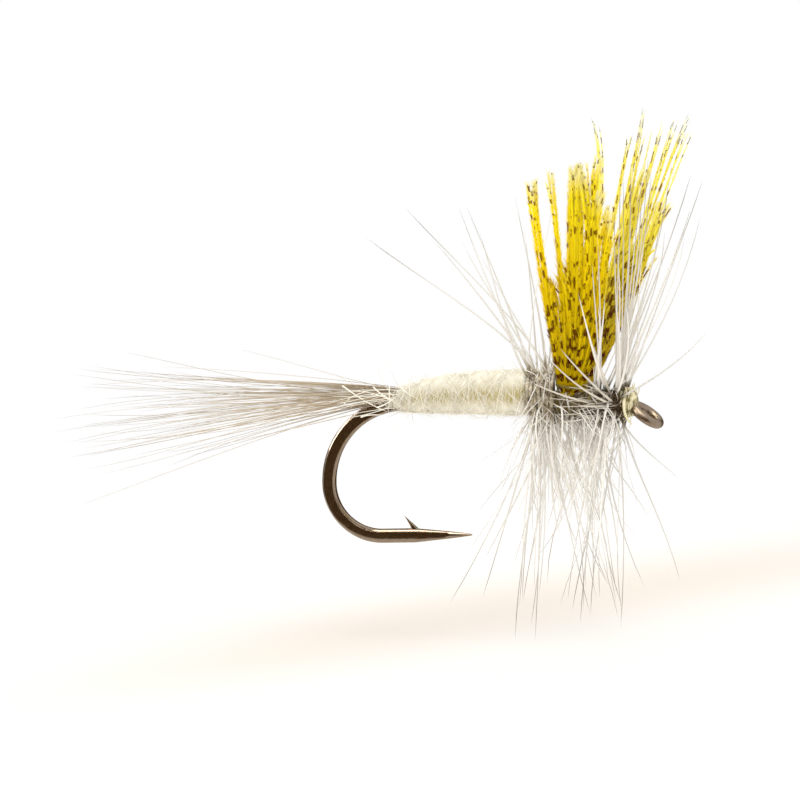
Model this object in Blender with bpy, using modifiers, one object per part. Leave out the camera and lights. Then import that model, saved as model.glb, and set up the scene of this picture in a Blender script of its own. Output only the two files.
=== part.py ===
"""Dry fly: a hackled and winged trout fly, tied from fur, feather and thread on a barbed hook.

Metres, +Z up. The origin is the centre of the hook's eye, +X runs along the shank towards the eye,
and the hook lies in the XZ plane with its wings above the shank.
"""
import math
import random

import bmesh
import bpy
import numpy
from mathutils import Matrix, Vector
from mathutils.geometry import interpolate_bezier

MM = 0.001

# Hook
WIRE_DIAMETER = 0.60 * MM
EYE_WIRE_DIAMETER = 0.40 * MM
EYE_HOLE_DIAMETER = 0.78 * MM
EYE_TURN_DOWN = math.radians(37)
EYE_NECK = 0.22 * MM
EYE_SEAM = 0.05 * MM
EYE_TAPER = 1.20 * MM
SHANK_LENGTH = 9.60 * MM
UPPER_BEND_RADIUS = 3.46 * MM
LOWER_BEND_RADIUS = 2.16 * MM
SPEAR_LENGTH = 3.85 * MM
SPEAR_RISE = math.radians(1)
POINT_LENGTH = 2.45 * MM
POINT_DIAMETER = 0.06 * MM
BARB_SETBACK = 2.40 * MM
BARB_LENGTH = 0.44 * MM
BARB_HEIGHT = 0.53 * MM
BARB_ROOT_DIAMETER = 0.30 * MM
BARB_TIP_DIAMETER = 0.02 * MM
FORGED_THICKNESS = 0.49 * MM
FORGING_BLEND = 1.60 * MM

# Thread, and the clearance between pieces that are lashed together
THREAD_DIAMETER = 0.06 * MM
FIT_GAP = 0.02 * MM
WRAP_TURNS = 3
WRAP_SHOULDER = math.radians(60)

# Stations along the shank, from the eye back
HEAD_SETBACK = 0.05 * MM
HEAD_LENGTH = 0.72 * MM
FRONT_HACKLE_LENGTH = 0.97 * MM
REAR_HACKLE_LENGTH = 1.15 * MM

# Head
HEAD_DIAMETER = 1.56 * MM
WHIP_TURNS = 4
KNOT_SEAT_SHARE = 0.3
CROWN_STARTS = 0.4
CROWN_ENDS = 0.8
DAM_THICKNESS = 0.11 * MM

# Tail
TAIL_FIBRE_DIAMETER = 0.10 * MM
TAIL_TIP_DIAMETER = 0.03 * MM
TAIL_LENGTH = 14.4 * MM
TAIL_LENGTH_SPREAD = 1.1 * MM
TAIL_BUTT_LENGTH = 1.20 * MM
TAIL_LOWER_FIBRES = 9
TAIL_UPPER_FIBRES = 7
TAIL_LOWEST_ANGLE = math.radians(-14)
TAIL_HIGHEST_ANGLE = math.radians(6)
TAIL_SIDE_ANGLE = math.radians(9)
TAIL_STEPS = 6
TAIL_SEED = 11

# Body
DUBBING_THICKNESS = 0.08 * MM
DUBBING_RIDGE = 0.05 * MM
DUBBING_PITCH = 0.52 * MM
BODY_OVERHANG = 0.25 * MM
BODY_END_TAPER = 0.80 * MM
BODY_END_FULLNESS = 0.4

# Wings
WING_LENGTH = 11.2 * MM
WING_LENGTH_SPREAD = 0.7 * MM
WING_COLUMNS = 7
WING_BARB_ROOT = 0.14 * MM
WING_BARB_NECK = 0.20 * MM
WING_BARB_WIDTH = 0.30 * MM
WING_BARB_SHOULDER = 0.18 * MM
WING_BARB_TIP = 0.03 * MM
WING_BARB_THICKNESS = 0.10 * MM
WING_LAYER_SPACING = 0.18 * MM
WING_PARTING = 0.26 * MM
WING_INNER_LEAN = math.radians(16)
WING_OUTER_LEAN = math.radians(24)
NEAR_WING_FAN = (math.radians(-1), math.radians(18))
FAR_WING_FAN = (math.radians(4), math.radians(20))
WING_WRAP_HEIGHT = 0.36 * MM
WING_WRAP_TURNS = 2
WING_BUTT_HEIGHT = 0.86 * MM
WING_BUTT_WIDTH = 1.00 * MM
WING_BUTT_LENGTH = 3.40 * MM
WING_BUTT_TIP = 0.16 * MM
# Widths up a wing barb, and thickness back along the wing butts: each as a share of the way and a size
WING_BARB_OUTLINE = (
    (0.0, WING_BARB_ROOT),
    (0.10, WING_BARB_ROOT),
    (0.25, WING_BARB_NECK),
    (0.45, WING_BARB_WIDTH),
    (0.68, WING_BARB_WIDTH),
    (0.88, WING_BARB_SHOULDER),
    (1.0, WING_BARB_TIP),
)
WING_BUTT_OUTLINE = (
    (0.0, 0.80 * WING_BUTT_HEIGHT),
    (0.04, WING_BUTT_HEIGHT),
    (0.30, WING_BUTT_HEIGHT),
    (0.52, 0.92 * WING_BUTT_HEIGHT),
    (0.78, 0.50 * WING_BUTT_HEIGHT),
    (1.0, WING_BUTT_TIP),
)

# Hackles
STEM_DIAMETER = 0.18 * MM
HACKLE_TURNS = 3
HACKLE_BARBS = 55
HACKLE_BARB_LENGTH = 8.70 * MM
HACKLE_BARB_SPREAD = 0.80 * MM
HACKLE_BARB_DIAMETER = 0.09 * MM
HACKLE_TIP_DIAMETER = 0.03 * MM
# Where barbs leave the stem and where they point, in degrees from straight up: a fan above, a brush below
REAR_SPREAD = ((0, 0), (33, 30), (50, 115), (180, 180))
FRONT_SPREAD = ((0, 0), (60, 40), (78, 115), (180, 180))
# Lean along the shank, forwards being positive, and how far single barbs stray from it
REAR_LEAN_ABOVE = math.radians(-26)
REAR_LEAN_BELOW = math.radians(-3)
REAR_STRAY_ABOVE = math.radians(15)
REAR_STRAY_BELOW = math.radians(9)
FRONT_LEAN_ABOVE = math.radians(29)
FRONT_LEAN_BELOW = math.radians(-2)
FRONT_STRAY_ABOVE = math.radians(3)
FRONT_STRAY_BELOW = math.radians(9)
HACKLE_BARB_SECTIONS = (0.10, 0.40, 0.70, 1.0)
REAR_HACKLE_SEED = 5
FRONT_HACKLE_SEED = 8

# Places worked out from the sizes above. Heights named "rise" are measured from the shank's axis.
EYE_RING_RADIUS = (EYE_HOLE_DIAMETER + EYE_WIRE_DIAMETER) / 2
EYE_REACH = EYE_RING_RADIUS + EYE_NECK
SHANK_HEIGHT = EYE_REACH * math.sin(EYE_TURN_DOWN)
SHANK_FRONT = -EYE_REACH * math.cos(EYE_TURN_DOWN)
BEND_START = SHANK_FRONT - SHANK_LENGTH

BASE_BORE_RADIUS = WIRE_DIAMETER / 2 + FIT_GAP
BASE_RADIUS = BASE_BORE_RADIUS + THREAD_DIAMETER
SEAT_RADIUS = BASE_RADIUS + FIT_GAP

WING_PITCH = WING_BARB_ROOT + FIT_GAP
WING_ROOT_LENGTH = WING_COLUMNS * WING_PITCH
WRAP_MARGIN = 2 * FIT_GAP + THREAD_DIAMETER
WING_STATION_LENGTH = WING_ROOT_LENGTH + 2 * WRAP_MARGIN + 2 * THREAD_DIAMETER

HEAD_FRONT = SHANK_FRONT - HEAD_SETBACK
HEAD_REAR = HEAD_FRONT - HEAD_LENGTH
FRONT_HACKLE_REAR = HEAD_REAR - FRONT_HACKLE_LENGTH
WING_REAR = FRONT_HACKLE_REAR - WING_STATION_LENGTH
REAR_HACKLE_REAR = WING_REAR - REAR_HACKLE_LENGTH
WING_CENTRE = (FRONT_HACKLE_REAR + WING_REAR) / 2
BUTT_FRONT = WING_REAR - FIT_GAP
BUTT_REAR = BUTT_FRONT - WING_BUTT_LENGTH

BUTT_TOP_RISE = SEAT_RADIUS + WING_BUTT_HEIGHT
UNDERBODY_RISE = (BUTT_TOP_RISE - SEAT_RADIUS) / 2
UNDERBODY_RADIUS = (BUTT_TOP_RISE + SEAT_RADIUS) / 2
REAR_STEM_RADIUS = UNDERBODY_RADIUS + FIT_GAP + STEM_DIAMETER / 2
DAM_RADIUS = SEAT_RADIUS + DAM_THICKNESS
FRONT_STEM_RADIUS = DAM_RADIUS + FIT_GAP + STEM_DIAMETER / 2

TAIL_PITCH = TAIL_FIBRE_DIAMETER + FIT_GAP
TAIL_LOWER_RADIUS = SEAT_RADIUS + TAIL_FIBRE_DIAMETER / 2
TAIL_UPPER_RADIUS = TAIL_LOWER_RADIUS + TAIL_PITCH
TAIL_WRAP_HIGH = TAIL_UPPER_RADIUS + TAIL_FIBRE_DIAMETER / 2 + FIT_GAP + THREAD_DIAMETER / 2
TAIL_WRAP_LOW = SEAT_RADIUS + THREAD_DIAMETER / 2

# How finely shapes are drawn
TURN_STEPS = 20
COIL_STEPS = 18
WIRE_SIDES = 12
BARB_SIDES = 8
THREAD_SIDES = 6
POINT_STEPS = 6
SPEAR_STEPS = 2
LOWER_BEND_STEPS = 9
UPPER_BEND_STEPS = 11
SHANK_STEPS = 3
NECK_POINTS = 7
EYE_STEPS = 18
LOOP_STEPS = 6
FINE_STEPS = 40
OUTLINE_STEPS = 36
SHARP_EDGE = math.radians(38)


def clear_scene():
    for item in list(bpy.data.objects):
        bpy.data.objects.remove(item, do_unlink=True)


def add_collection(name):
    collection = bpy.data.collections.new(name)
    bpy.context.scene.collection.children.link(collection)
    return collection


def make_material(name, colour, roughness, metallic=0.0):
    material = bpy.data.materials.new(name)
    material.use_nodes = True
    shader = material.node_tree.nodes["Principled BSDF"]
    shader.inputs["Base Color"].default_value = (*colour, 1.0)
    shader.inputs["Roughness"].default_value = roughness
    shader.inputs["Metallic"].default_value = metallic
    return material


def add_object(name, data, collection, material):
    item = bpy.data.objects.new(name, data)
    data.materials.append(material)
    collection.objects.link(item)
    return item


def make_tube(name, points, diameters, collection, material, sides=THREAD_SIDES):
    """A wire or fibre along the points, with its own diameter at each of them."""
    curve = bpy.data.curves.new(name, "CURVE")
    curve.dimensions = "3D"
    curve.bevel_depth = MM / 2
    curve.bevel_resolution = (sides - 4) // 2
    curve.use_fill_caps = True
    spline = curve.splines.new("POLY")
    spline.points.add(len(points) - 1)
    spline.use_smooth = True
    for spline_point, place, diameter in zip(spline.points, points, diameters):
        spline_point.co = (*place, 1.0)
        spline_point.radius = diameter / MM
    return add_object(name, curve, collection, material)


def become_mesh(item):
    """Replace an object by the mesh that its curve or modifiers give."""
    name = item.name
    material = item.data.materials[0]
    collection = item.users_collection[0]
    bpy.context.view_layer.update()
    evaluated = item.evaluated_get(bpy.context.evaluated_depsgraph_get())
    mesh = bpy.data.meshes.new_from_object(evaluated)
    mesh.transform(item.matrix_world)
    bpy.data.objects.remove(item, do_unlink=True)
    shape = bmesh.new()
    shape.from_mesh(mesh)
    bmesh.ops.remove_doubles(shape, verts=shape.verts, dist=FIT_GAP / 100)
    bmesh.ops.recalc_face_normals(shape, faces=shape.faces)
    shape.to_mesh(mesh)
    shape.free()
    mesh.materials.clear()
    return add_object(name, mesh, collection, material)


def make_turned(name, profile, collection, material):
    """A sleeve turned about the shank: a closed outline of (station, radius) pairs, spun by Screw."""
    shape = bmesh.new()
    corners = [shape.verts.new((radius, 0, station)) for station, radius in profile]
    for first, second in zip(corners, corners[1:] + corners[:1]):
        shape.edges.new((first, second))
    mesh = bpy.data.meshes.new(name)
    shape.to_mesh(mesh)
    shape.free()
    item = add_object(name, mesh, collection, material)
    item.location = (0, 0, SHANK_HEIGHT)
    item.rotation_euler = (0, math.radians(90), 0)
    screw = item.modifiers.new("turn", "SCREW")
    screw.axis = "Z"
    screw.angle = math.tau
    screw.steps = TURN_STEPS
    screw.render_steps = TURN_STEPS
    screw.use_merge_vertices = True
    screw.merge_threshold = FIT_GAP / 100
    screw.use_smooth_shade = True
    turned = become_mesh(item)
    turned.data.set_sharp_from_angle(angle=SHARP_EDGE)
    return turned


def ease(value):
    """Smooth step from 0 to 1, level at both ends."""
    value = min(1.0, max(0.0, value))
    return value * value * (3 - 2 * value)


def mix(first, second, share):
    return first + (second - first) * share


def points_along(handles, shares):
    """The points at these shares of the way along a curve with four handles."""
    fine = interpolate_bezier(*handles, FINE_STEPS + 1)
    return [fine[round(share * FINE_STEPS)] for share in shares]


def across_shank(station, radius, angle, rise=0.0):
    """A point at a station on the shank, at an angle from straight up, towards +Y."""
    return Vector((station, radius * math.sin(angle), SHANK_HEIGHT + rise + radius * math.cos(angle)))


def hook_path():
    """The wire's centre line from the point, round the bend and along the shank to the end of the eye."""
    bend_high = Vector((BEND_START, 0, SHANK_HEIGHT - UPPER_BEND_RADIUS))
    bend_low = bend_high + Vector((LOWER_BEND_RADIUS - UPPER_BEND_RADIUS, 0, 0))
    spear_way = Vector((math.cos(SPEAR_RISE), 0, math.sin(SPEAR_RISE)))
    spear_root = bend_low + LOWER_BEND_RADIUS * Vector((math.sin(SPEAR_RISE), 0, -math.cos(SPEAR_RISE)))
    point = spear_root + SPEAR_LENGTH * spear_way
    taper_end = point - POINT_LENGTH * spear_way

    path = [point.lerp(taper_end, step / POINT_STEPS) for step in range(POINT_STEPS + 1)]
    path += [taper_end.lerp(spear_root, step / SPEAR_STEPS) for step in range(1, SPEAR_STEPS + 1)]
    low_sweep = math.radians(90) + SPEAR_RISE
    for step in range(1, LOWER_BEND_STEPS + 1):
        angle = low_sweep * (1 - step / LOWER_BEND_STEPS)
        path.append(bend_low - LOWER_BEND_RADIUS * Vector((math.cos(angle), 0, math.sin(angle))))
    for step in range(1, UPPER_BEND_STEPS + 1):
        angle = math.radians(90) * (1 - step / UPPER_BEND_STEPS)
        path.append(bend_high + UPPER_BEND_RADIUS * Vector((-math.sin(angle), 0, math.cos(angle))))

    taper_start = Vector((SHANK_FRONT - EYE_TAPER, 0, SHANK_HEIGHT))
    path += [path[-1].lerp(taper_start, step / SHANK_STEPS) for step in range(1, SHANK_STEPS + 1)]

    forward = Vector((math.cos(EYE_TURN_DOWN), 0, -math.sin(EYE_TURN_DOWN)))
    sideways = Vector((0, 1, 0))
    opening = math.asin((EYE_WIRE_DIAMETER + EYE_SEAM) / (math.sqrt(2) * EYE_RING_RADIUS))

    def ring_point(angle):
        return EYE_RING_RADIUS * (math.sin(angle) * sideways - math.cos(angle) * forward)

    ring_start = ring_point(opening)
    ring_way = math.cos(opening) * sideways + math.sin(opening) * forward
    neck_start = Vector((SHANK_FRONT - EYE_NECK, 0, SHANK_HEIGHT))
    neck_corner = Vector((SHANK_FRONT, 0, SHANK_HEIGHT))
    ring_handle = ring_start - ring_way * EYE_NECK / 2
    path += interpolate_bezier(neck_start, neck_corner, ring_handle, ring_start, NECK_POINTS)
    for step in range(1, EYE_STEPS + 1):
        path.append(ring_point(mix(opening, math.tau - opening, step / EYE_STEPS)))
    return path, spear_way


def hook_diameters(path):
    """Needle taper at the point, full wire round the bend, and a thinner wire in the eye."""
    diameters = []
    for place in path:
        from_point = (place - path[0]).length
        to_eye = SHANK_FRONT - place.x
        if place.z < SHANK_HEIGHT - UPPER_BEND_RADIUS and place.x > BEND_START - UPPER_BEND_RADIUS:
            share = math.sqrt(min(1.0, from_point / POINT_LENGTH))
            diameters.append(mix(POINT_DIAMETER, WIRE_DIAMETER, share))
        else:
            diameters.append(mix(EYE_WIRE_DIAMETER, WIRE_DIAMETER, ease(to_eye / EYE_TAPER)))
    return diameters


def make_hook(parts, cutters, steel):
    path, spear_way = hook_path()
    hook = become_mesh(make_tube("hook", path, hook_diameters(path), parts, steel, WIRE_SIDES))
    for vert in hook.data.vertices:
        forged = ease((BEND_START - vert.co.x) / FORGING_BLEND)
        limit = mix(WIRE_DIAMETER, FORGED_THICKNESS, forged) / 2
        if vert.co.x < BEND_START:
            vert.co.y = min(limit, max(-limit, vert.co.y))
    hook.data.set_sharp_from_angle(angle=SHARP_EDGE)

    upright = Vector((-spear_way.z, 0, spear_way.x))
    root = path[0] - BARB_SETBACK * spear_way
    tip = root - BARB_LENGTH * spear_way + (WIRE_DIAMETER / 2 + BARB_HEIGHT) * upright
    barb_diameters = [BARB_ROOT_DIAMETER, BARB_TIP_DIAMETER]
    barb = make_tube("barb", [root, tip], barb_diameters, cutters, steel, BARB_SIDES)
    barb = become_mesh(barb)
    barb.hide_render = True
    barb.display_type = "WIRE"
    union = hook.modifiers.new("barb", "BOOLEAN")
    union.operation = "UNION"
    union.object = barb


def make_thread_base(parts, thread):
    """One close layer of thread along the shank, from the head to the bend."""
    profile = [
        (HEAD_FRONT, BASE_RADIUS),
        (BEND_START, BASE_RADIUS),
        (BEND_START, BASE_BORE_RADIUS),
        (HEAD_FRONT, BASE_BORE_RADIUS),
    ]
    make_turned("thread_base", profile, parts, thread)


def make_coil(name, front, turns, pitch, radius_at, rise, parts, thread):
    """Thread wound about the shank, backwards from a station, on a radius given for each angle."""
    points = []
    for step in range(round(turns * COIL_STEPS) + 1):
        turn = step / COIL_STEPS
        points.append(across_shank(front - turn * pitch, radius_at(math.tau * turn), math.tau * turn, rise))
    make_tube(name, points, [THREAD_DIAMETER] * len(points), parts, thread)


def tail_places():
    """Angle from straight up and radius of each fibre, in two layers on top of the thread base."""
    places = []
    for count, radius in ((TAIL_LOWER_FIBRES, TAIL_LOWER_RADIUS), (TAIL_UPPER_FIBRES, TAIL_UPPER_RADIUS)):
        step = TAIL_PITCH / radius
        places += [((index - (count - 1) / 2) * step, radius) for index in range(count)]
    return places


def make_tail(parts, feather):
    dice = random.Random(TAIL_SEED)
    places = tail_places()
    widest = max(radius * math.sin(angle) for angle, radius in places)
    lowest = min(radius * math.cos(angle) for angle, radius in places)
    highest = max(radius * math.cos(angle) for angle, radius in places)
    tie_in = BEND_START
    for number, (angle, radius) in enumerate(places, 1):
        butt = across_shank(tie_in + TAIL_BUTT_LENGTH, radius, angle)
        root = across_shank(tie_in, radius, angle)
        height_share = (radius * math.cos(angle) - lowest) / (highest - lowest)
        climb = mix(TAIL_LOWEST_ANGLE, TAIL_HIGHEST_ANGLE, height_share)
        aside = TAIL_SIDE_ANGLE * radius * math.sin(angle) / widest
        length = TAIL_LENGTH + dice.uniform(-1, 1) * TAIL_LENGTH_SPREAD
        way = Vector((-math.cos(climb) * math.cos(aside), math.sin(aside), math.sin(climb)))
        tip = root + length * way
        handle = root + Vector((-length / 4, 0, 0))
        free = interpolate_bezier(root, handle, tip - way * length / 3, tip, TAIL_STEPS + 1)
        shares = [step / TAIL_STEPS for step in range(TAIL_STEPS + 1)]
        diameters = [mix(TAIL_FIBRE_DIAMETER, TAIL_TIP_DIAMETER, share) for share in shares]
        name = f"tail_fibre_{number:02d}"
        make_tube(name, [butt] + free, [TAIL_FIBRE_DIAMETER] + diameters, parts, feather)


def tail_wrap_radius(angle):
    """Thread runs over the fibres on top and close to the shank below."""
    from_top = abs(math.remainder(angle, math.tau))
    upper_edge = TAIL_UPPER_FIBRES * TAIL_PITCH / TAIL_UPPER_RADIUS / 2
    lower_edge = upper_edge + WRAP_SHOULDER
    return mix(TAIL_WRAP_LOW, TAIL_WRAP_HIGH, ease((lower_edge - from_top) / (lower_edge - upper_edge)))


def make_tail_wraps(parts, thread):
    pitch = THREAD_DIAMETER + FIT_GAP
    front = BEND_START + THREAD_DIAMETER + WRAP_TURNS * pitch
    make_coil("tail_wraps", front, WRAP_TURNS, pitch, tail_wrap_radius, 0.0, parts, thread)


def make_butt_wraps(parts, thread):
    """Thread over the wing butts, just behind the rear hackle and under the front of the body."""
    pitch = THREAD_DIAMETER + FIT_GAP
    radius = UNDERBODY_RADIUS + FIT_GAP + THREAD_DIAMETER / 2
    front = REAR_HACKLE_REAR - 2 * THREAD_DIAMETER
    make_coil("butt_wraps", front, WRAP_TURNS, pitch, lambda angle: radius, UNDERBODY_RISE, parts, thread)


def make_body(parts, fur):
    """A ridged taper of spun fur, a hollow jacket round the tail lashing and the wing butts."""
    front = REAR_HACKLE_REAR - FIT_GAP
    rear = BEND_START - BODY_OVERHANG
    tail_rise = (TAIL_WRAP_HIGH - TAIL_WRAP_LOW) / 2
    angles = [math.pi * step / OUTLINE_STEPS for step in range(OUTLINE_STEPS + 1)]
    outline = [across_shank(0, tail_wrap_radius(angle), angle) for angle in angles]
    centre = across_shank(0, tail_rise, 0)
    tail_bore = max((place - centre).length for place in outline) + THREAD_DIAMETER / 2 + FIT_GAP
    butt_bore = UNDERBODY_RADIUS + THREAD_DIAMETER + 2 * FIT_GAP

    def bore_at(station):
        return mix(tail_bore, butt_bore, (station - rear) / (front - rear))

    ridges = round((front - rear) / DUBBING_PITCH)
    profile = []
    for step in range(2 * ridges + 1):
        station = mix(front, rear, step / (2 * ridges))
        ridge = DUBBING_RIDGE if step % 2 else 0.0
        fullness = mix(BODY_END_FULLNESS, 1.0, ease((station - rear) / BODY_END_TAPER))
        profile.append((station, bore_at(station) + (DUBBING_THICKNESS + ridge) * fullness))
    profile += [(rear, bore_at(rear)), (front, bore_at(front))]
    body = make_turned("dubbed_body", profile, parts, fur)
    for vert in body.data.vertices:
        vert.co.z += mix(tail_rise, UNDERBODY_RISE, (vert.co.x - rear) / (front - rear))


def make_wing_butts(parts, feather):
    """The cut ends of the wing feather, tied back along the top of the shank."""
    points = []
    for share, diameter in WING_BUTT_OUTLINE:
        points.append(across_shank(mix(BUTT_FRONT, BUTT_REAR, share), SEAT_RADIUS + diameter / 2, 0.0))
    diameters = [diameter for share, diameter in WING_BUTT_OUTLINE]
    butts = become_mesh(make_tube("wing_butts", points, diameters, parts, feather, WIRE_SIDES))
    butts.data.transform(Matrix.Diagonal((1, WING_BUTT_WIDTH / WING_BUTT_HEIGHT, 1, 1)))


def barb_section(centre, along, broadside, width, thickness):
    """Four corners of a flat barb's section, in order about its length."""
    edge = along.cross(broadside).normalized()
    flat = edge.cross(along).normalized()
    signs = ((1, 1), (-1, 1), (-1, -1), (1, -1))
    return [centre + flat * width * u / 2 + edge * thickness * v / 2 for u, v in signs]


def seat_face(face, corners):
    """Move a four-sided face onto the corners, turned the way that twists it least."""
    verts = [loop.vert for loop in face.loops]

    def travel(shift):
        return sum((vert.co - corners[(index + shift) % 4]).length for index, vert in enumerate(verts))

    shift = min(range(4), key=travel)
    for index, vert in enumerate(verts):
        vert.co = corners[(index + shift) % 4]


def grow_barb(shape, face, path, broadside, widths, thicknesses):
    """Extrude a face along a path, one section at each point."""
    before = face.calc_center_median()
    for place, width, thickness in zip(path, widths, thicknesses):
        face = bmesh.ops.extrude_discrete_faces(shape, faces=[face])["faces"][0]
        seat_face(face, barb_section(place, (place - before).normalized(), broadside, width, thickness))
        before = place


def make_wing_barb(name, path, broadside, widths, parts, feather):
    shape = bmesh.new()
    bmesh.ops.create_cube(shape, size=1.0)
    along = (path[1] - path[0]).normalized()
    ends = [barb_section(path[step], along, broadside, widths[step], WING_BARB_THICKNESS) for step in (0, 1)]
    order = {(1, 1): 0, (-1, 1): 1, (-1, -1): 2, (1, -1): 3}
    for vert in shape.verts:
        corner = order[(int(math.copysign(1, vert.co.x)), int(math.copysign(1, vert.co.y)))]
        vert.co = ends[1 if vert.co.z > 0 else 0][corner]
    top = max(shape.faces, key=lambda face: face.calc_center_median().dot(along))
    rest = path[2:]
    shares = [step / len(rest) for step in range(1, len(rest) + 1)]
    thicknesses = [mix(WING_BARB_THICKNESS, WING_BARB_TIP, share) for share in shares]
    grow_barb(shape, top, rest, broadside, widths[2:], thicknesses)
    bmesh.ops.recalc_face_normals(shape, faces=shape.faces)
    mesh = bpy.data.meshes.new(name)
    shape.to_mesh(mesh)
    shape.free()
    add_object(name, mesh, parts, feather)


def wing_way(lean, fan, side):
    """The way a barb points: leaned out to its side and fanned forwards."""
    upright = Vector((0, side * math.sin(lean), math.cos(lean)))
    return (upright * math.cos(fan) + Vector((math.sin(fan), 0, 0))).normalized()


def make_wing(label, side, fan, parts, feather, thread):
    """Two layers of barbs, upright from the top of the shank, and the thread round their roots."""
    dice = random.Random(label)
    mean_lean = (WING_INNER_LEAN + WING_OUTER_LEAN) / 2
    mean_way = wing_way(mean_lean, (fan[0] + fan[1]) / 2, side)
    widths = [width for share, width in WING_BARB_OUTLINE]
    number = 0
    for layer, lean in enumerate((WING_INNER_LEAN, WING_OUTER_LEAN)):
        for column in range(WING_COLUMNS):
            number += 1
            root = Vector((
                WING_CENTRE + (column - (WING_COLUMNS - 1) / 2) * WING_PITCH,
                side * (WING_PARTING / 2 + layer * WING_LAYER_SPACING),
                SHANK_HEIGHT + SEAT_RADIUS,
            ))
            way = wing_way(lean, mix(fan[0], fan[1], column / (WING_COLUMNS - 1)), side)
            length = WING_LENGTH + dice.uniform(-1, 1) * WING_LENGTH_SPREAD
            tip = root + length * way
            handles = (root, root + mean_way * length / 6, tip - way * length / 2, tip)
            path = points_along(handles, [share for share, width in WING_BARB_OUTLINE])
            name = f"{label}_wing_barb_{number:02d}"
            make_wing_barb(name, path, Vector((1, 0, 0)), widths, parts, feather)
    make_wing_wraps(label, side, mean_way, parts, thread)


def make_wing_wraps(label, side, way, parts, thread):
    """Two turns of thread in a long loop round the roots of one wing."""
    offset = (WING_PARTING + WING_LAYER_SPACING) / 2
    centre = Vector((WING_CENTRE, side * offset, SHANK_HEIGHT + SEAT_RADIUS)) + way * WING_WRAP_HEIGHT
    edge = way.cross(Vector((1, 0, 0))).normalized()
    flat = edge.cross(way).normalized()
    loop_radius = (WING_LAYER_SPACING + WING_BARB_THICKNESS) / 2 + WRAP_MARGIN
    half_length = WING_ROOT_LENGTH / 2 + WRAP_MARGIN - loop_radius
    outline = []
    for end in (1, -1):
        for step in range(LOOP_STEPS + 1):
            angle = math.radians(mix(-90, 90, step / LOOP_STEPS))
            place = (end * (half_length + loop_radius * math.cos(angle)), end * loop_radius * math.sin(angle))
            outline.append(place)
    pitch = THREAD_DIAMETER + FIT_GAP
    points = []
    for step in range(WING_WRAP_TURNS * len(outline) + 1):
        u, v = outline[step % len(outline)]
        points.append(centre + flat * u + edge * v + way * pitch * step / len(outline))
    make_tube(f"{label}_wing_wraps", points, [THREAD_DIAMETER] * len(points), parts, thread)


def make_dam(parts, thread):
    """A collar of thread in front of the wings that props them up and seats the front hackle."""
    bevel = DAM_THICKNESS / 3
    front = HEAD_REAR - FIT_GAP
    profile = [
        (front, DAM_RADIUS - bevel),
        (front - bevel, DAM_RADIUS),
        (FRONT_HACKLE_REAR + bevel, DAM_RADIUS),
        (FRONT_HACKLE_REAR, DAM_RADIUS - bevel),
        (FRONT_HACKLE_REAR, SEAT_RADIUS),
        (front, SEAT_RADIUS),
    ]
    make_turned("wing_dam", profile, parts, thread)


def spread_angle(angle, spread):
    """The way round the shank that a barb points, for the angle at which it leaves the stem."""
    from_top = math.degrees(math.remainder(angle, math.tau))
    leaving, pointing = zip(*spread)
    return math.copysign(math.radians(numpy.interp(abs(from_top), leaving, pointing)), from_top)


def make_hackle(name, front, length, stem_radius, rise, spread, lean_at, seed, parts, feather):
    """A feather wound on edge: its stem is a coil, its barbs a fan above the shank and a brush below it."""
    dice = random.Random(seed)
    pitch = (length - STEM_DIAMETER - 2 * FIT_GAP) / HACKLE_TURNS
    start = front - FIT_GAP - STEM_DIAMETER / 2
    turns = [HACKLE_TURNS * step / HACKLE_BARBS for step in range(HACKLE_BARBS + 1)]
    points = [across_shank(start - turn * pitch, stem_radius, math.tau * turn, rise) for turn in turns]
    stem = become_mesh(make_tube(name, points, [STEM_DIAMETER] * len(points), parts, feather))

    shape = bmesh.new()
    shape.from_mesh(stem.data)
    shape.normal_update()
    outer_faces = []
    for first, second in zip(turns, turns[1:]):
        turn = (first + second) / 2
        outward = across_shank(0, 1, math.tau * turn) - across_shank(0, 0, 0)
        middle = across_shank(start - turn * pitch, stem_radius, math.tau * turn, rise)
        sides = [face for face in shape.faces if len(face.verts) == 4]
        near = [face for face in sides if (face.calc_center_median() - middle).length < STEM_DIAMETER]
        face = max(near, key=lambda candidate: candidate.normal.dot(outward))
        outer_faces.append((face, math.tau * turn, outward))
    first, last = HACKLE_BARB_SECTIONS[0], HACKLE_BARB_SECTIONS[-1]
    slims = [(share - first) / (last - first) for share in HACKLE_BARB_SECTIONS]
    widths = [mix(HACKLE_BARB_DIAMETER, HACKLE_TIP_DIAMETER, slim) for slim in slims]
    for face, angle, outward in outer_faces:
        pointing = spread_angle(angle, spread)
        lean = lean_at(pointing, dice)
        radial = across_shank(0, 1, pointing) - across_shank(0, 0, 0)
        way = (radial * math.cos(lean) + Vector((math.sin(lean), 0, 0))).normalized()
        root = face.calc_center_median()
        reach = HACKLE_BARB_LENGTH + dice.uniform(-1, 1) * HACKLE_BARB_SPREAD
        bow = outward.lerp(way, 0.5).normalized()
        handles = (root, root + bow * reach / 4, root + way * reach * 2 / 3, root + way * reach)
        path = points_along(handles, HACKLE_BARB_SECTIONS)
        grow_barb(shape, face, path, Vector((1, 0, 0)), widths, widths)
    bmesh.ops.recalc_face_normals(shape, faces=shape.faces)
    shape.to_mesh(stem.data)
    shape.free()


def rear_lean(angle, dice):
    """Rear barbs lean back, widely above the body and little below it, clear of the hook's gape."""
    above = ((1 + math.cos(angle)) / 2) ** 2
    stray = dice.uniform(-1, 1) * mix(REAR_STRAY_BELOW, REAR_STRAY_ABOVE, above)
    return mix(REAR_LEAN_BELOW, REAR_LEAN_ABOVE, above) + stray


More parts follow.
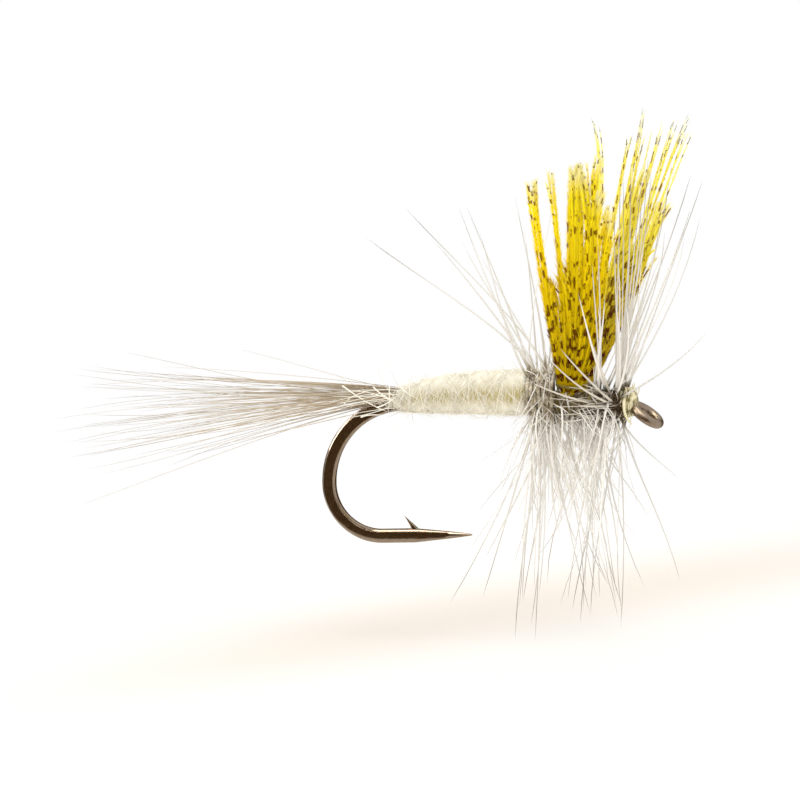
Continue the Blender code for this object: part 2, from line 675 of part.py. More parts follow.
def front_lean(angle, dice):
    """Front barbs lean forwards above the shank, ahead of the wings, and stand upright below it."""
    above = math.sqrt(max(0.0, math.cos(angle)))
    stray = dice.uniform(-1, 1) * mix(FRONT_STRAY_BELOW, FRONT_STRAY_ABOVE, above)
    return mix(FRONT_LEAN_BELOW, FRONT_LEAN_ABOVE, above) + stray


def make_head(parts, thread):
    """A cone of thread against the front hackle, stepped down in front for the finishing knot."""
    knot_length = WHIP_TURNS * (THREAD_DIAMETER + FIT_GAP) + THREAD_DIAMETER
    crown = HEAD_DIAMETER / 2
    knot_seat = mix(SEAT_RADIUS, crown, KNOT_SEAT_SHARE)
    shoulder = HEAD_FRONT - knot_length - FIT_GAP
    profile = [
        (HEAD_FRONT, SEAT_RADIUS + THREAD_DIAMETER),
        (HEAD_FRONT - FIT_GAP, knot_seat),
        (shoulder, knot_seat),
        (shoulder - FIT_GAP, crown - THREAD_DIAMETER),
        (mix(shoulder, HEAD_REAR, CROWN_STARTS), crown),
        (mix(shoulder, HEAD_REAR, CROWN_ENDS), crown - THREAD_DIAMETER / 2),
        (HEAD_REAR, crown - 2 * THREAD_DIAMETER),
        (HEAD_REAR, SEAT_RADIUS),
        (HEAD_FRONT, SEAT_RADIUS),
    ]
    make_turned("thread_head", profile, parts, thread)
    pitch = THREAD_DIAMETER + FIT_GAP
    radius = knot_seat + FIT_GAP + THREAD_DIAMETER / 2
    front = HEAD_FRONT - THREAD_DIAMETER / 2 - FIT_GAP
    make_coil("whip_finish", front, WHIP_TURNS, pitch, lambda angle: radius, 0.0, parts, thread)


def main():
    clear_scene()
    parts = add_collection("dry_fly")
    cutters = add_collection("dry_fly_cutters")
    steel = make_material("bronzed_steel", (0.075, 0.045, 0.025), 0.28, 1.0)
    thread = make_material("waxed_thread", (0.72, 0.64, 0.38), 0.55)
    fur = make_material("spun_fur", (0.83, 0.80, 0.66), 0.95)
    dun = make_material("dun_feather", (0.50, 0.45, 0.38), 0.60)
    hackle = make_material("hackle_feather", (0.72, 0.68, 0.62), 0.45)
    yellow = make_material("barred_feather", (0.80, 0.56, 0.02), 0.60)

    make_hook(parts, cutters, steel)
    make_thread_base(parts, thread)
    make_tail(parts, dun)
    make_tail_wraps(parts, thread)
    make_body(parts, fur)
    make_wing_butts(parts, yellow)
    make_butt_wraps(parts, thread)
    make_wing("near", -1, NEAR_WING_FAN, parts, yellow, thread)
    make_wing("far", 1, FAR_WING_FAN, parts, yellow, thread)
    make_dam(parts, thread)
    make_hackle("rear_hackle", WING_REAR, REAR_HACKLE_LENGTH, REAR_STEM_RADIUS, UNDERBODY_RISE,
                REAR_SPREAD, rear_lean, REAR_HACKLE_SEED, parts, hackle)
    make_hackle("front_hackle", HEAD_REAR, FRONT_HACKLE_LENGTH, FRONT_STEM_RADIUS, 0.0,
                FRONT_SPREAD, front_lean, FRONT_HACKLE_SEED, parts, hackle)
    make_head(parts, thread)


main()
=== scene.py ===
"""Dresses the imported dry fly: forged hook, dun tail, fur body, barred wings and two wound hackles."""
import math
import random
from collections import namedtuple

import bpy
import numpy as np
from mathutils import Matrix, Vector, noise


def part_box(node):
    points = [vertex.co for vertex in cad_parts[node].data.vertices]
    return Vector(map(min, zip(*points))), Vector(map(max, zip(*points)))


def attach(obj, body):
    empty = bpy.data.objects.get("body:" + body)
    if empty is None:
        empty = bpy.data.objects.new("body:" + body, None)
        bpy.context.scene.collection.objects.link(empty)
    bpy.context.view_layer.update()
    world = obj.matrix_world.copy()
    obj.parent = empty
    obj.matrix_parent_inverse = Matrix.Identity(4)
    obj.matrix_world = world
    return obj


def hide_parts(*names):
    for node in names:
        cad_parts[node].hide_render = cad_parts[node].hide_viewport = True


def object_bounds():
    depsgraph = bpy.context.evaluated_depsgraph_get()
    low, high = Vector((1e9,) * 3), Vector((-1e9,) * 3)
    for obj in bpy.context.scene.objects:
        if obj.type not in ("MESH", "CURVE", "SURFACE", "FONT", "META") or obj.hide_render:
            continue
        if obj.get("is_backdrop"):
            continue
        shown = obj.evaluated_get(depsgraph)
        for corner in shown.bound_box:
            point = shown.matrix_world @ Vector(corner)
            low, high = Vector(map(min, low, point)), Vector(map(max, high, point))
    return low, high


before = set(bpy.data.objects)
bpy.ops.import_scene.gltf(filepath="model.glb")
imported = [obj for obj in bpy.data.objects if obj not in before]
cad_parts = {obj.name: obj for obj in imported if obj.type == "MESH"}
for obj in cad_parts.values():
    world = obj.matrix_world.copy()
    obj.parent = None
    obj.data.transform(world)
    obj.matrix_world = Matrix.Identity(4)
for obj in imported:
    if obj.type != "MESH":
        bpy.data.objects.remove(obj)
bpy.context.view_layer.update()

bl_info = {
    "name": "Dry fly",
    "version": (1, 0, 0),
    "blender": (4, 5, 0),
    "location": "View3D > Sidebar > Dry fly",
    "description": "Ties a dry fly over its packed solids and sets it on a white table",
    "category": "Object",
}

MM = 0.001
FULL_TURN = 2 * math.pi
BODY = "root"
AHEAD = np.array((1.0, 0.0, 0.0))

# Places along the shank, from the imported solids. The hook's eye is at the origin and the tail points to -X.
BASE_LOW, BASE_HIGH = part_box("thread_base")
SHANK_HEIGHT = (BASE_LOW.z + BASE_HIGH.z) / 2
SHANK_TOP = BASE_HIGH.z
SEAT = SHANK_TOP + 0.03 * MM
HEAD_REAR, HEAD_FRONT = (corner.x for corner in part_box("thread_head"))
FRONT_HACKLE_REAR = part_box("wing_dam")[0].x
REAR_HACKLE_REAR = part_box("dubbed_body")[1].x + 0.04 * MM
REAR_HACKLE_FRONT = REAR_HACKLE_REAR + 1.15 * MM
WING_CENTRE = (REAR_HACKLE_FRONT + FRONT_HACKLE_REAR) / 2

# The hook's own sizes, the same as the solid hook's apart from its barb, which is larger here.
WIRE = 0.60 * MM
EYE_WIRE = 0.40 * MM
EYE_HOLE = 0.78 * MM
EYE_TURN_DOWN = math.radians(37)
EYE_NECK = 0.22 * MM
EYE_SEAM = 0.05 * MM
EYE_TAPER = 1.20 * MM
SHANK_LENGTH = 9.60 * MM
UPPER_BEND = 3.46 * MM
LOWER_BEND = 2.16 * MM
SPEAR = 3.85 * MM
SPEAR_RISE = math.radians(1)
POINT = 2.45 * MM
POINT_TIP = 0.06 * MM
POINT_CURVE = 0.85
FORGED = 0.49 * MM
FORGING_BLEND = 1.60 * MM
BARB_SETBACK = 2.40 * MM
BARB_RISE = 0.76 * MM
BARB_LEAN = 0.44 * MM
BARB_ROOT = 0.44 * MM
EYE_RADIUS = (EYE_HOLE + EYE_WIRE) / 2
EYE_REACH = EYE_RADIUS + EYE_NECK
SHANK_FRONT = -EYE_REACH * math.cos(EYE_TURN_DOWN)
BEND_START = SHANK_FRONT - SHANK_LENGTH
LOWER_CENTRE = BEND_START - UPPER_BEND + LOWER_BEND
BEND_STEPS, SHANK_STEPS, NECK_STEPS, EYE_STEPS = 40, 30, 12, 56
# The lacquer is rubbed duller at the eye than on the rest of the wire.
EYE_DULL = 0.22


def linear(hex_colour):
    """An sRGB hex colour as the linear colour that a socket takes."""
    shares = [int(hex_colour[place:place + 2], 16) / 255 for place in (1, 3, 5)]
    curved = [share / 12.92 if share <= 0.04045 else ((share + 0.055) / 1.055) ** 2.4 for share in shares]
    return curved + [1.0]


def ease(share):
    """Smooth step from 0 to 1 as share goes from 0 to 1."""
    share = np.clip(share, 0.0, 1.0)
    return share * share * (3 - 2 * share)


def unit(rows):
    """Each row of an array as a unit vector."""
    return rows / np.linalg.norm(rows, axis=1)[:, None]


def round_shank(turn):
    """The way out from the shank at this turn from straight up towards the far side."""
    return np.array((0.0, math.sin(turn), math.cos(turn)))


def on_turn(x, turn, reach, middle):
    """A place on a wound turn, this far out from a middle at this height."""
    return Vector((x, math.sin(turn) * reach, middle + math.cos(turn) * reach))


def deselect():
    """Leaves nothing selected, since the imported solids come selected."""
    if bpy.context.mode != "OBJECT":
        bpy.ops.object.mode_set(mode="OBJECT")
    bpy.ops.object.select_all(action="DESELECT")


def select_only(*pieces):
    """Selects these pieces alone and makes the first the active one."""
    deselect()
    for piece in pieces:
        piece.select_set(True)
    bpy.context.view_layer.objects.active = pieces[0]


def pick(piece, kind, wanted):
    """Selects the points or edges of a piece that are wanted, and leaves it in edit mode."""
    bpy.context.tool_settings.mesh_select_mode = [kind == choice for choice in ("VERT", "EDGE", "FACE")]
    bpy.ops.object.mode_set(mode="EDIT")
    bpy.ops.mesh.select_all(action="DESELECT")
    bpy.ops.object.mode_set(mode="OBJECT")
    for part in piece.data.edges if kind == "EDGE" else piece.data.vertices:
        part.select = wanted(part)
    bpy.ops.object.mode_set(mode="EDIT")


def add_primitive(kind, **settings):
    """Adds a primitive at its size and place, with its place in its mesh."""
    deselect()
    getattr(bpy.ops.mesh, f"primitive_{kind}_add")(**settings)
    bpy.ops.object.transform_apply(location=True, rotation=True, scale=True)
    return bpy.context.active_object


def ringed_cylinder(axis, cuts, **settings):
    """A cylinder a unit long on this axis, cut into rings."""
    cylinder = add_primitive("cylinder", depth=1.0, **settings)
    points = cylinder.data.vertices

    def runs_along(edge):
        first, last = (points[index].co[axis] for index in edge.vertices)
        return abs(first - last) > 0.5

    pick(cylinder, "EDGE", runs_along)
    if cuts:
        bpy.ops.mesh.subdivide(number_cuts=cuts)
    return cylinder


def link_new(name, data):
    """A new object that holds this mesh or curve."""
    piece = bpy.data.objects.new(name, data)
    bpy.context.scene.collection.objects.link(piece)
    return piece


def discard(piece):
    """Removes a piece that was only a step on the way."""
    mesh = piece.data
    bpy.data.objects.remove(piece)
    bpy.data.meshes.remove(mesh)


def hand_over(piece, material, slot, *nodes):
    """Gives a finished piece its material and its body, and hides the solids that it stands for; the slot is
    not used.
    """
    piece.data.materials.clear()
    piece.data.materials.append(material)
    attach(piece, BODY)
    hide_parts(*nodes)


def bezier(handles):
    """A path along a cubic curve with these four handles, given as a function of the share of its length."""
    first, second, third, last = (np.array(handle, float) for handle in handles)

    def path(shares):
        t = shares[:, None]
        return ((1 - t) ** 3 * first + 3 * (1 - t) ** 2 * t * second
                + 3 * (1 - t) * t * t * third + t ** 3 * last)

    return path


def bowed(start, run, bow, low=0.3, high=0.7):
    """A path along a straight run that bows out between these two shares of it."""
    return bezier((start, start + run * low + bow, start + run * high + bow, start + run))


def taper(root, tip, power=1.0):
    """A width that falls from root to tip along a strand."""
    return lambda shares: tip + (root - tip) * (1 - shares) ** power


# A strand's reach says how much of a full strand it is: a short one never gets to the colours of the tip.
# Without bars of its own it has none.
Strand = namedtuple("Strand", "path broad width thickness tint bars reach", defaults=(np.zeros_like, 1.0))


def model_strand(sides, cuts):
    """One straight strand, a unit wide and long: a cylinder cut into rings and drawn to a point."""
    strand = ringed_cylinder(2, cuts, vertices=sides, radius=0.5, location=(0, 0, 0.5))
    pick(strand, "VERT", lambda point: point.co.z > 0.999)
    bpy.ops.mesh.merge(type="CENTER")
    bpy.ops.object.mode_set(mode="OBJECT")
    coords = np.array([point.co for point in strand.data.vertices])
    faces = [tuple(face.vertices) for face in strand.data.polygons]
    discard(strand)
    return coords, faces


def mark_points(mesh, mark, values):
    """Writes a mark on each point of a mesh for its material to read."""
    held = mesh.attributes.get(mark) or mesh.attributes.new(mark, "FLOAT", "POINT")
    held.data.foreach_set("value", values)


def lay_strands(name, shape, strands, smooth=True):
    """Lays copies of a modelled strand along their paths, as one mesh with marks for the material."""
    coords, shape_faces = shape
    shares, ring = np.unique(np.round(coords[:, 2], 5), return_inverse=True)
    places, faces = [], []
    marks = {"along": [], "end": [], "tint": [], "bars": []}
    for number, strand in enumerate(strands):
        broad = np.array(strand.broad)
        centre = strand.path(shares)
        run = unit(np.gradient(centre, axis=0))
        across = unit(broad - run * (run @ broad)[:, None])
        through = np.cross(run, across)
        wide = strand.width(shares)
        thick = wide * strand.thickness
        places.append(centre[ring] + across[ring] * (coords[:, 0] * wide[ring])[:, None]
                      + through[ring] * (coords[:, 1] * thick[ring])[:, None])
        faces.extend(tuple(index + number * len(coords) for index in face) for face in shape_faces)
        marks["along"].append(coords[:, 2] * strand.reach)
        marks["end"].append(coords[:, 2])
        marks["tint"].append(np.full(len(coords), strand.tint))
        marks["bars"].append(strand.bars(shares)[ring])
    mesh = bpy.data.meshes.new(name)
    mesh.from_pydata(np.concatenate(places).tolist(), [], faces)
    for mark, values in marks.items():
        mark_points(mesh, mark, np.concatenate(values))
    mesh.polygons.foreach_set("use_smooth", [smooth] * len(mesh.polygons))
    mesh.update()
    return link_new(name, mesh)


def bend_tube(name, route, diameter, roundness, widths=None):
    """A round tube along a route of points, modelled as a bevelled curve and made a mesh."""
    curve = bpy.data.curves.new(name, "CURVE")
    curve.dimensions = "3D"
    curve.bevel_depth = diameter / 2
    curve.bevel_resolution = roundness
    curve.use_fill_caps = True
    spline = curve.splines.new("POLY")
    spline.points.add(len(route) - 1)
    for point, place, width in zip(spline.points, route, widths or [1.0] * len(route)):
        point.co = (*place, 1.0)
        point.radius = width
    select_only(link_new(name, curve))
    bpy.ops.object.convert(target="MESH")
    return bpy.context.active_object


def wind(name, route, diameter):
    """A round thread or stem along a route of points."""
    piece = bend_tube(name, route, diameter, 1)
    bpy.ops.object.shade_smooth_by_angle(angle=math.radians(40))
    return piece


SMOOTH = {"interpolation_type": "SMOOTHSTEP"}
RGBA = {"data_type": "RGBA"}


def plug(made, inputs):
    """Fills or links a node's inputs, given by name or in the order of those in use.

    A node stands for the first of its outputs in use, and text is a hex colour.
    """
    in_use = [socket for socket in made.inputs if socket.enabled]
    for place, value in inputs.items() if isinstance(inputs, dict) else enumerate(inputs):
        socket = made.inputs[place] if isinstance(place, str) else in_use[place]
        if isinstance(value, bpy.types.Node):
            value = next(output for output in value.outputs if output.enabled)
        if isinstance(value, bpy.types.NodeSocket):
            made.id_data.links.new(value, socket)
        else:
            socket.default_value = linear(value) if isinstance(value, str) else value


def node(tree, kind, inputs=(), **settings):
    """Adds a shader node, sets its properties and fills or links its inputs."""
    made = tree.nodes.new("ShaderNode" + kind)
    for key, value in settings.items():
        setattr(made, key, value)
    plug(made, inputs)
    return made


def new_material(name):
    """A fresh material with its tree and its Principled shader."""
    material = bpy.data.materials.new(name)
    material.use_nodes = True
    tree = material.node_tree
    return material, tree, tree.nodes["Principled BSDF"]


def bronzed_steel(colours):
    """Bronzed wire: drawn, forged and lacquered steel with a clean gloss and a faint drawn grain."""
    material, tree, shader = new_material("bronzed_steel_wire")
    where = node(tree, "TexCoord").outputs["Object"]
    grain = node(tree, "TexNoise", (where, 1 / (0.25 * MM), 3.0))
    depth = node(tree, "MapRange", (grain, 0.35, 0.65))
    colour = node(tree, "Mix", (depth, colours.bronze_deep, colours.bronze), **RGBA)
    rough = node(tree, "MapRange", (grain, 0.3, 0.7, 0.09, 0.17))
    along = node(tree, "SeparateXYZ", (where,))
    dull = node(tree, "MapRange", (along, SHANK_FRONT - EYE_TAPER, SHANK_FRONT, 0.0, EYE_DULL))
    rough = node(tree, "Math", (rough, dull), operation="ADD")
    bump = node(tree, "Bump", {"Strength": 0.06, "Distance": 0.01 * MM, "Height": grain})
    plug(shader, {"Base Color": colour, "Roughness": rough, "Normal": bump, "Metallic": 1.0})
    return material


def feather_fibre(name, root, middle, tip, roughness, low_end=0.30, high_start=0.55, darkest=0.86):
    """Cock feather fibre: a horny, half clear strand, darker at its root, partly as painted shade where the
    fibres crowd, and turning to a fine tip.
    """
    material, tree, shader = new_material(name)
    along, tint = (node(tree, "Attribute", attribute_name=mark).outputs["Fac"] for mark in ("along", "tint"))
    low = node(tree, "MapRange", (along, 0.02, low_end), **SMOOTH)
    high = node(tree, "MapRange", (along, high_start, 1.0), **SMOOTH)
    lower = node(tree, "Mix", (low, root, middle), **RGBA)
    whole = node(tree, "Mix", (high, lower, tip), **RGBA)
    shade = node(tree, "MapRange", (tint, 0.0, 1.0, darkest, 1.06))
    varied = node(tree, "HueSaturation", {"Value": shade, "Color": whole})
    plug(shader, {"Base Color": varied, "Roughness": roughness, "Specular IOR Level": 0.35})
    return material


def barred_flank(name, colours, middle, tip, fray, end_dash):
    """Dyed duck flank: matt lemon barbs crossed by broken rows of brown dashes, boldest low down."""
    material, tree, shader = new_material(name)
    along, tint, bars, out, spot = (node(tree, "Attribute", attribute_name=mark).outputs["Fac"]
                                    for mark in ("along", "tint", "bars", "out", "end"))
    low = node(tree, "MapRange", (along, 0.05, 0.60), **SMOOTH)
    high = node(tree, "MapRange", (along, 0.40, 0.78), **SMOOTH)
    end = node(tree, "MapRange", (along, 0.72, 0.92), **SMOOTH)
    # A dash is this far from the middle of its row, and fades out along the side hairs sooner higher up.
    row = node(tree, "Math", (bars,), operation="FRACT")
    off = node(tree, "Math", (row, 0.5), operation="SUBTRACT")
    away = node(tree, "Math", (off,), operation="ABSOLUTE")
    broad = node(tree, "MapRange", (low, 0.0, 0.8, 0.60, 0.0))
    inner = node(tree, "Math", (out, broad), operation="SUBTRACT")
    inner = node(tree, "MapRange", (inner, 0.20, 0.65, 1.0, 0.0), **SMOOTH)
    # Its length changes from barb to barb and from row to row, so that the rows are broken.
    own = node(tree, "CombineXYZ", (tint, bars))
    own = node(tree, "VectorMath", (own, (400.0, 0.8, 0.0)), operation="MULTIPLY")
    patch = node(tree, "TexNoise", (own, 1.0, 1.0))
    patchy = node(tree, "MapRange", (patch, 0.35, 0.65, -0.34, 0.20))
    broken = node(tree, "MapRange", (low, 0.0, 0.7, 0.45, 1.0))
    patchy = node(tree, "Math", (patchy, broken), operation="MULTIPLY")
    long = node(tree, "MapRange", (low, 0.0, 1.0, 0.27, 0.14))
    reach = node(tree, "Math", (long, patchy), operation="ADD")
    reach = node(tree, "Math", (end, end_dash, reach), operation="MULTIPLY_ADD")
    edge = node(tree, "Math", (reach, away), operation="SUBTRACT")
    dash = node(tree, "MapRange", (edge, -0.07, 0.07), **SMOOTH)
    dash = node(tree, "Math", (dash, inner), operation="MULTIPLY")
    lower = node(tree, "Mix", (low, colours.wing_root, middle), **RGBA)
    whole = node(tree, "Mix", (high, lower, tip), **RGBA)
    shade = node(tree, "MapRange", (tint, 0.0, 1.0, 0.92, 1.12))
    varied = node(tree, "HueSaturation", {"Value": shade, "Color": whole})
    frayed = node(tree, "MapRange", (spot, 0.84, 1.0, 0.0, 0.8), **SMOOTH)
    fringe = node(tree, "MapRange", (out, 0.40, 1.0, 0.0, fray), **SMOOTH)
    frayed = node(tree, "Math", (frayed, fringe), operation="MAXIMUM")
    frayed = node(tree, "Math", (frayed, high), operation="MULTIPLY")
    varied = node(tree, "Mix", (frayed, varied, colours.wing_frayed), **RGBA)
    brown = node(tree, "Mix", (low, colours.bar_low, colours.bar_high), **RGBA)
    brown = node(tree, "Mix", (end, brown, colours.bar_end), **RGBA)
    barred = node(tree, "Mix", (dash, varied, brown), **RGBA)
    plug(shader, {"Base Color": barred, "Roughness": 0.6, "Specular IOR Level": 0.06})
    return material


def spun_fur(colours):
    """Soft under-fur spun on thread: matt cream clouded at random, with painted olive shade along the middle
    of the flanks, where the fur is thin.
    """
    material, tree, shader = new_material("spun_under_fur")
    where = node(tree, "TexCoord").outputs["Object"]
    thin = node(tree, "Attribute", attribute_name="thin").outputs["Fac"]
    cloud = node(tree, "TexNoise", (where, 1 / (0.35 * MM), 4.0))
    # The thin mark adds painted olive shade along the middle of the flanks.
    cover = node(tree, "Math", (cloud, thin), operation="SUBTRACT")
    mixed = node(tree, "MapRange", (cover, -0.55, 0.50))
    colour = node(tree, "Mix", (mixed, colours.fur_deep_and_shade, colours.fur), **RGBA)
    hairs = node(tree, "TexNoise", (where, 1 / (0.06 * MM), 2.0))
    bump = node(tree, "Bump", {"Strength": 0.35, "Distance": 0.03 * MM, "Height": hairs})
    plug(shader, {"Base Color": colour, "Normal": bump, "Roughness": 0.85, "Specular IOR Level": 0.15,
                  "Sheen Weight": 0.25, "Sheen Roughness": 0.5})
    return material


def waxed_thread(name, deep, pale):
    """Waxed tying thread: fine twisted filaments with a dull shine, stained where the wax sits deep."""
    material, tree, shader = new_material(name)
    where = node(tree, "TexCoord").outputs["Object"]
    stain = node(tree, "TexNoise", (where, 1 / (0.30 * MM), 3.0))
    mixed = node(tree, "MapRange", (stain, 0.38, 0.62))
    colour = node(tree, "Mix", (mixed, deep, pale), **RGBA)
    ply = node(tree, "TexNoise", (where, 1 / (0.04 * MM), 1.0))
    bump = node(tree, "Bump", {"Strength": 0.3, "Distance": 0.015 * MM, "Height": ply})
    plug(shader, {"Base Color": colour, "Normal": bump, "Roughness": 0.5})
    return material


def count_of(title, what, value):
    """A setting for a number of fibres."""
    return bpy.props.IntProperty(name=title, description=what, default=value, min=1)


def length_of(title, what, value):
    """A setting for a length, given in mm."""
    return bpy.props.FloatProperty(name=title, description=what, default=value * MM, unit="LENGTH")


def colour_of(title, what, value):
    """A setting for a hex colour."""
    return bpy.props.StringProperty(name=title, description=what, default=value)


class FlySizes(bpy.types.PropertyGroup):
    """Sizes and counts that a tyer would change."""

    tail_fibres: count_of("Tail fibres", "Fibres in the tail", 90)
    tail_width: length_of("Tail fibre", "Width of a tail fibre at its root", 0.042)
    tail_length: length_of("Tail length", "Length of the tail past the body", 15.8)
    fur_hairs: count_of("Fur hairs", "Hairs spun round the body", 2800)
    barb_length: length_of("Hackle length", "Length of a hackle barb", 8.7)
    bar_pitch: length_of("Bar pitch", "Distance between the wing's bars", 0.74)
    vane: length_of("Vane", "Length of the side hairs of a wing barb", 0.42)


class FlyColours(bpy.types.PropertyGroup):
    """Colours that a tyer would change, as sRGB hex values."""

    bronze: colour_of("Bronze", "Lacquered wire", "#988878")
    bronze_deep: colour_of("Deep bronze", "Lacquer where it lies thick", "#8C7A66")
    wing: colour_of("Wing", "Dyed flank of the near wing", "#F6DA06")
    wing_thin: colour_of("Thin wing", "Dyed flank of the far wing", "#FFF24A")
    wing_root: colour_of("Wing root", "Dyed flank low down", "#D0B204")
    wing_end: colour_of("Wing end", "Ends of the flank of the near wing", "#FFEC1A")
    wing_tip: colour_of("Wing tip", "Thin ends of the flank of the far wing", "#FFF258")
    wing_frayed: colour_of("Frayed ends", "Frayed ends of the flank", "#FFFBD0")
    bar_low: colour_of("Low bars", "Bars near the root", "#521400")
    bar_high: colour_of("High bars", "Bars half way up", "#8A5A00")
    bar_end: colour_of("End bars", "Bars on the thin ends", "#6A5F38")
    fur: colour_of("Fur", "Spun fur", "#FFFBEE")
    # Deep fur: random cloudy patches, and painted olive shade along the middle of the flanks.
    fur_deep_and_shade: colour_of("Deep fur", "Fur between the hairs", "#B2A258")
    dun: colour_of("Dun", "Hackle barbs", "#F8F4EC")
    cream: colour_of("Cream", "Broad barbs swept back over the wing", "#EFE6D6")
    # Dun root: the barbs' own darker base, with painted shade where they crowd at the collar.
    dun_root: colour_of("Dun root", "Hackle barbs at the stem", "#C2B49A")
    dun_tip: colour_of("Dun tip", "Fine ends of the hackle", "#8E8478")
    # The front stem is painted near black as the shade in the deep gaps between the barbs round it; its worn
    # patches fall at random.
    stem: colour_of("Stem", "Wound front hackle stem", "#241806")
    stem_worn: colour_of("Worn stem", "Wound front hackle stem where it is worn", "#4C3818")
    # Shaded stem: painted shade, laid on the rear stem in random patches.
    stem_shade: colour_of("Shaded stem", "Wound rear hackle stem between its turns", "#6A5C42")
    stem_light: colour_of("Light stem", "Wound rear hackle stem where it is bare", "#D8CCB2")
    stem_pale: colour_of("Pale stem", "Wound stem under the wings", "#8A7C60")
    tail: colour_of("Tail", "Tail fibres", "#D2C1A6")
    # Tail root: painted shade where the fibres crowd in the bunch.
    tail_root_shade: colour_of("Tail root", "Tail fibres at the body", "#A68F72")
    tail_tip: colour_of("Tail tip", "Fine ends of the tail", "#C8BCAC")
    thread: colour_of("Thread", "Tying thread", "#EDE4BE")
    thread_deep: colour_of("Deep thread", "Thread stained by wax", "#75652A")
    # The lashing is the tying thread in painted shade: darker where it lies crowded between the hackles, with
    # random stains.
    lashing_in_shade: colour_of("Lashing", "Thread round the wing roots", "#A08C34")
    lashing_deep_in_shade: colour_of("Deep lashing", "Thread round the wing roots, stained", "#6B5816")


def hook_route():
    """Centres of the wire from the point round the bend and along the shank to the eye's end."""
    spear_way = Vector((math.cos(SPEAR_RISE), 0, math.sin(SPEAR_RISE)))
    upper = Vector((BEND_START, 0, SHANK_HEIGHT - UPPER_BEND))
    lower = Vector((LOWER_CENTRE, 0, SHANK_HEIGHT - UPPER_BEND))
    foot = lower + LOWER_BEND * Vector((math.sin(SPEAR_RISE), 0, -math.cos(SPEAR_RISE)))
    route = [foot + spear_way * SPEAR * (1 - step / BEND_STEPS) for step in range(BEND_STEPS)]
    sweep = math.pi / 2 + SPEAR_RISE
    for step in range(BEND_STEPS):
        angle = SPEAR_RISE - sweep * step / BEND_STEPS
        route.append(lower + LOWER_BEND * Vector((math.sin(angle), 0, -math.cos(angle))))
    for step in range(BEND_STEPS):
        angle = math.pi / 2 * step / BEND_STEPS
        route.append(upper + UPPER_BEND * Vector((-math.cos(angle), 0, math.sin(angle))))
    neck = Vector((SHANK_FRONT - EYE_NECK, 0, SHANK_HEIGHT))
    start = Vector((BEND_START, 0, SHANK_HEIGHT))
    route.extend(start.lerp(neck, step / SHANK_STEPS) for step in range(SHANK_STEPS))
    forward = Vector((math.cos(EYE_TURN_DOWN), 0, -math.sin(EYE_TURN_DOWN)))
    opening = math.asin((EYE_WIRE + EYE_SEAM) / (math.sqrt(2) * EYE_RADIUS))

    def on_ring(angle):
        return EYE_RADIUS * (math.sin(angle) * Vector((0, 1, 0)) - math.cos(angle) * forward)

    handle = Vector((SHANK_FRONT, 0, SHANK_HEIGHT))
    turn_in = bezier((neck, handle, on_ring(opening) * 0.5 + handle * 0.5, on_ring(opening)))
    route.extend(Vector(place) for place in turn_in(np.arange(NECK_STEPS) / NECK_STEPS))
    for step in range(EYE_STEPS + 1):
        route.append(on_ring(opening + (FULL_TURN - 2 * opening) * step / EYE_STEPS))
    return route


def hook_widths(route):
    """Width of the wire at each place: a tapered point, a full shank and a finer eye."""
    run = [0.0]
    for here, there in zip(route, route[1:]):
        run.append(run[-1] + (there - here).length)
    eye_run = run[-1] - FULL_TURN * EYE_RADIUS
    widths = []
    for place in run:
        point = POINT_TIP + (WIRE - POINT_TIP) * min(place / POINT, 1.0) ** POINT_CURVE
        eye = WIRE + (EYE_WIRE - WIRE) * float(ease((place - eye_run + EYE_TAPER) / EYE_TAPER))
        widths.append(min(point, eye))
    return widths


def make_wire():
    """Bends the wire and hammers the sides of the bend flat."""
    route = hook_route()
    wire = bend_tube("hook_wire", route, 1.0, 7, hook_widths(route))
    below_shank = SHANK_HEIGHT - WIRE
    at_spear = -3 * MM
    for point in wire.data.vertices:
        if point.co.x >= BEND_START + FORGING_BLEND:
            continue
        blend = float(ease((BEND_START + FORGING_BLEND - point.co.x) / FORGING_BLEND))
        if point.co.z < below_shank:
            blend = 1.0
        limit = WIRE / 2 + (FORGED / 2 - WIRE / 2) * blend
        ahead = point.co.x - (LOWER_CENTRE + SPEAR - POINT)
        if point.co.z < at_spear and ahead > 0:
            limit *= POINT_TIP / WIRE + (1 - POINT_TIP / WIRE) * max(1 - ahead / POINT, 0.0) ** POINT_CURVE
        point.co.y = max(-limit, min(limit, point.co.y))
    return wire


def raise_barb(wire):
    """Raises the barb: a curved spike cut from the top of the spear, joined to the wire."""
    foot_x = LOWER_CENTRE + SPEAR - BARB_SETBACK
    foot_z = SHANK_HEIGHT - UPPER_BEND - LOWER_BEND
    barb = add_primitive("cone", vertices=20, radius1=BARB_ROOT / 2, radius2=0.004 * MM, depth=1.0 * MM,
                         location=(0, 0, 0.5 * MM))
    bpy.ops.object.mode_set(mode="EDIT")
    bpy.ops.mesh.select_all(action="SELECT")
    bpy.ops.mesh.subdivide(number_cuts=5)
    bpy.ops.object.mode_set(mode="OBJECT")
    for point in barb.data.vertices:
        up = point.co.z / MM
        lean = -BARB_LEAN * max((up - 0.2) / 0.8, 0.0) ** 1.15
        front = 0.10 * MM * (1 - up) ** 2 if point.co.x > 0 else 0.0
        point.co = Vector((foot_x + point.co.x * 0.85 + lean + front, point.co.y * 0.7,
                           foot_z + 0.1 * MM + up * BARB_RISE))
    union = wire.modifiers.new("barb", "BOOLEAN")
    union.operation = "UNION"
    union.solver = "EXACT"
    union.object = barb
    select_only(wire)
    bpy.ops.object.modifier_apply(modifier=union.name)
    discard(barb)


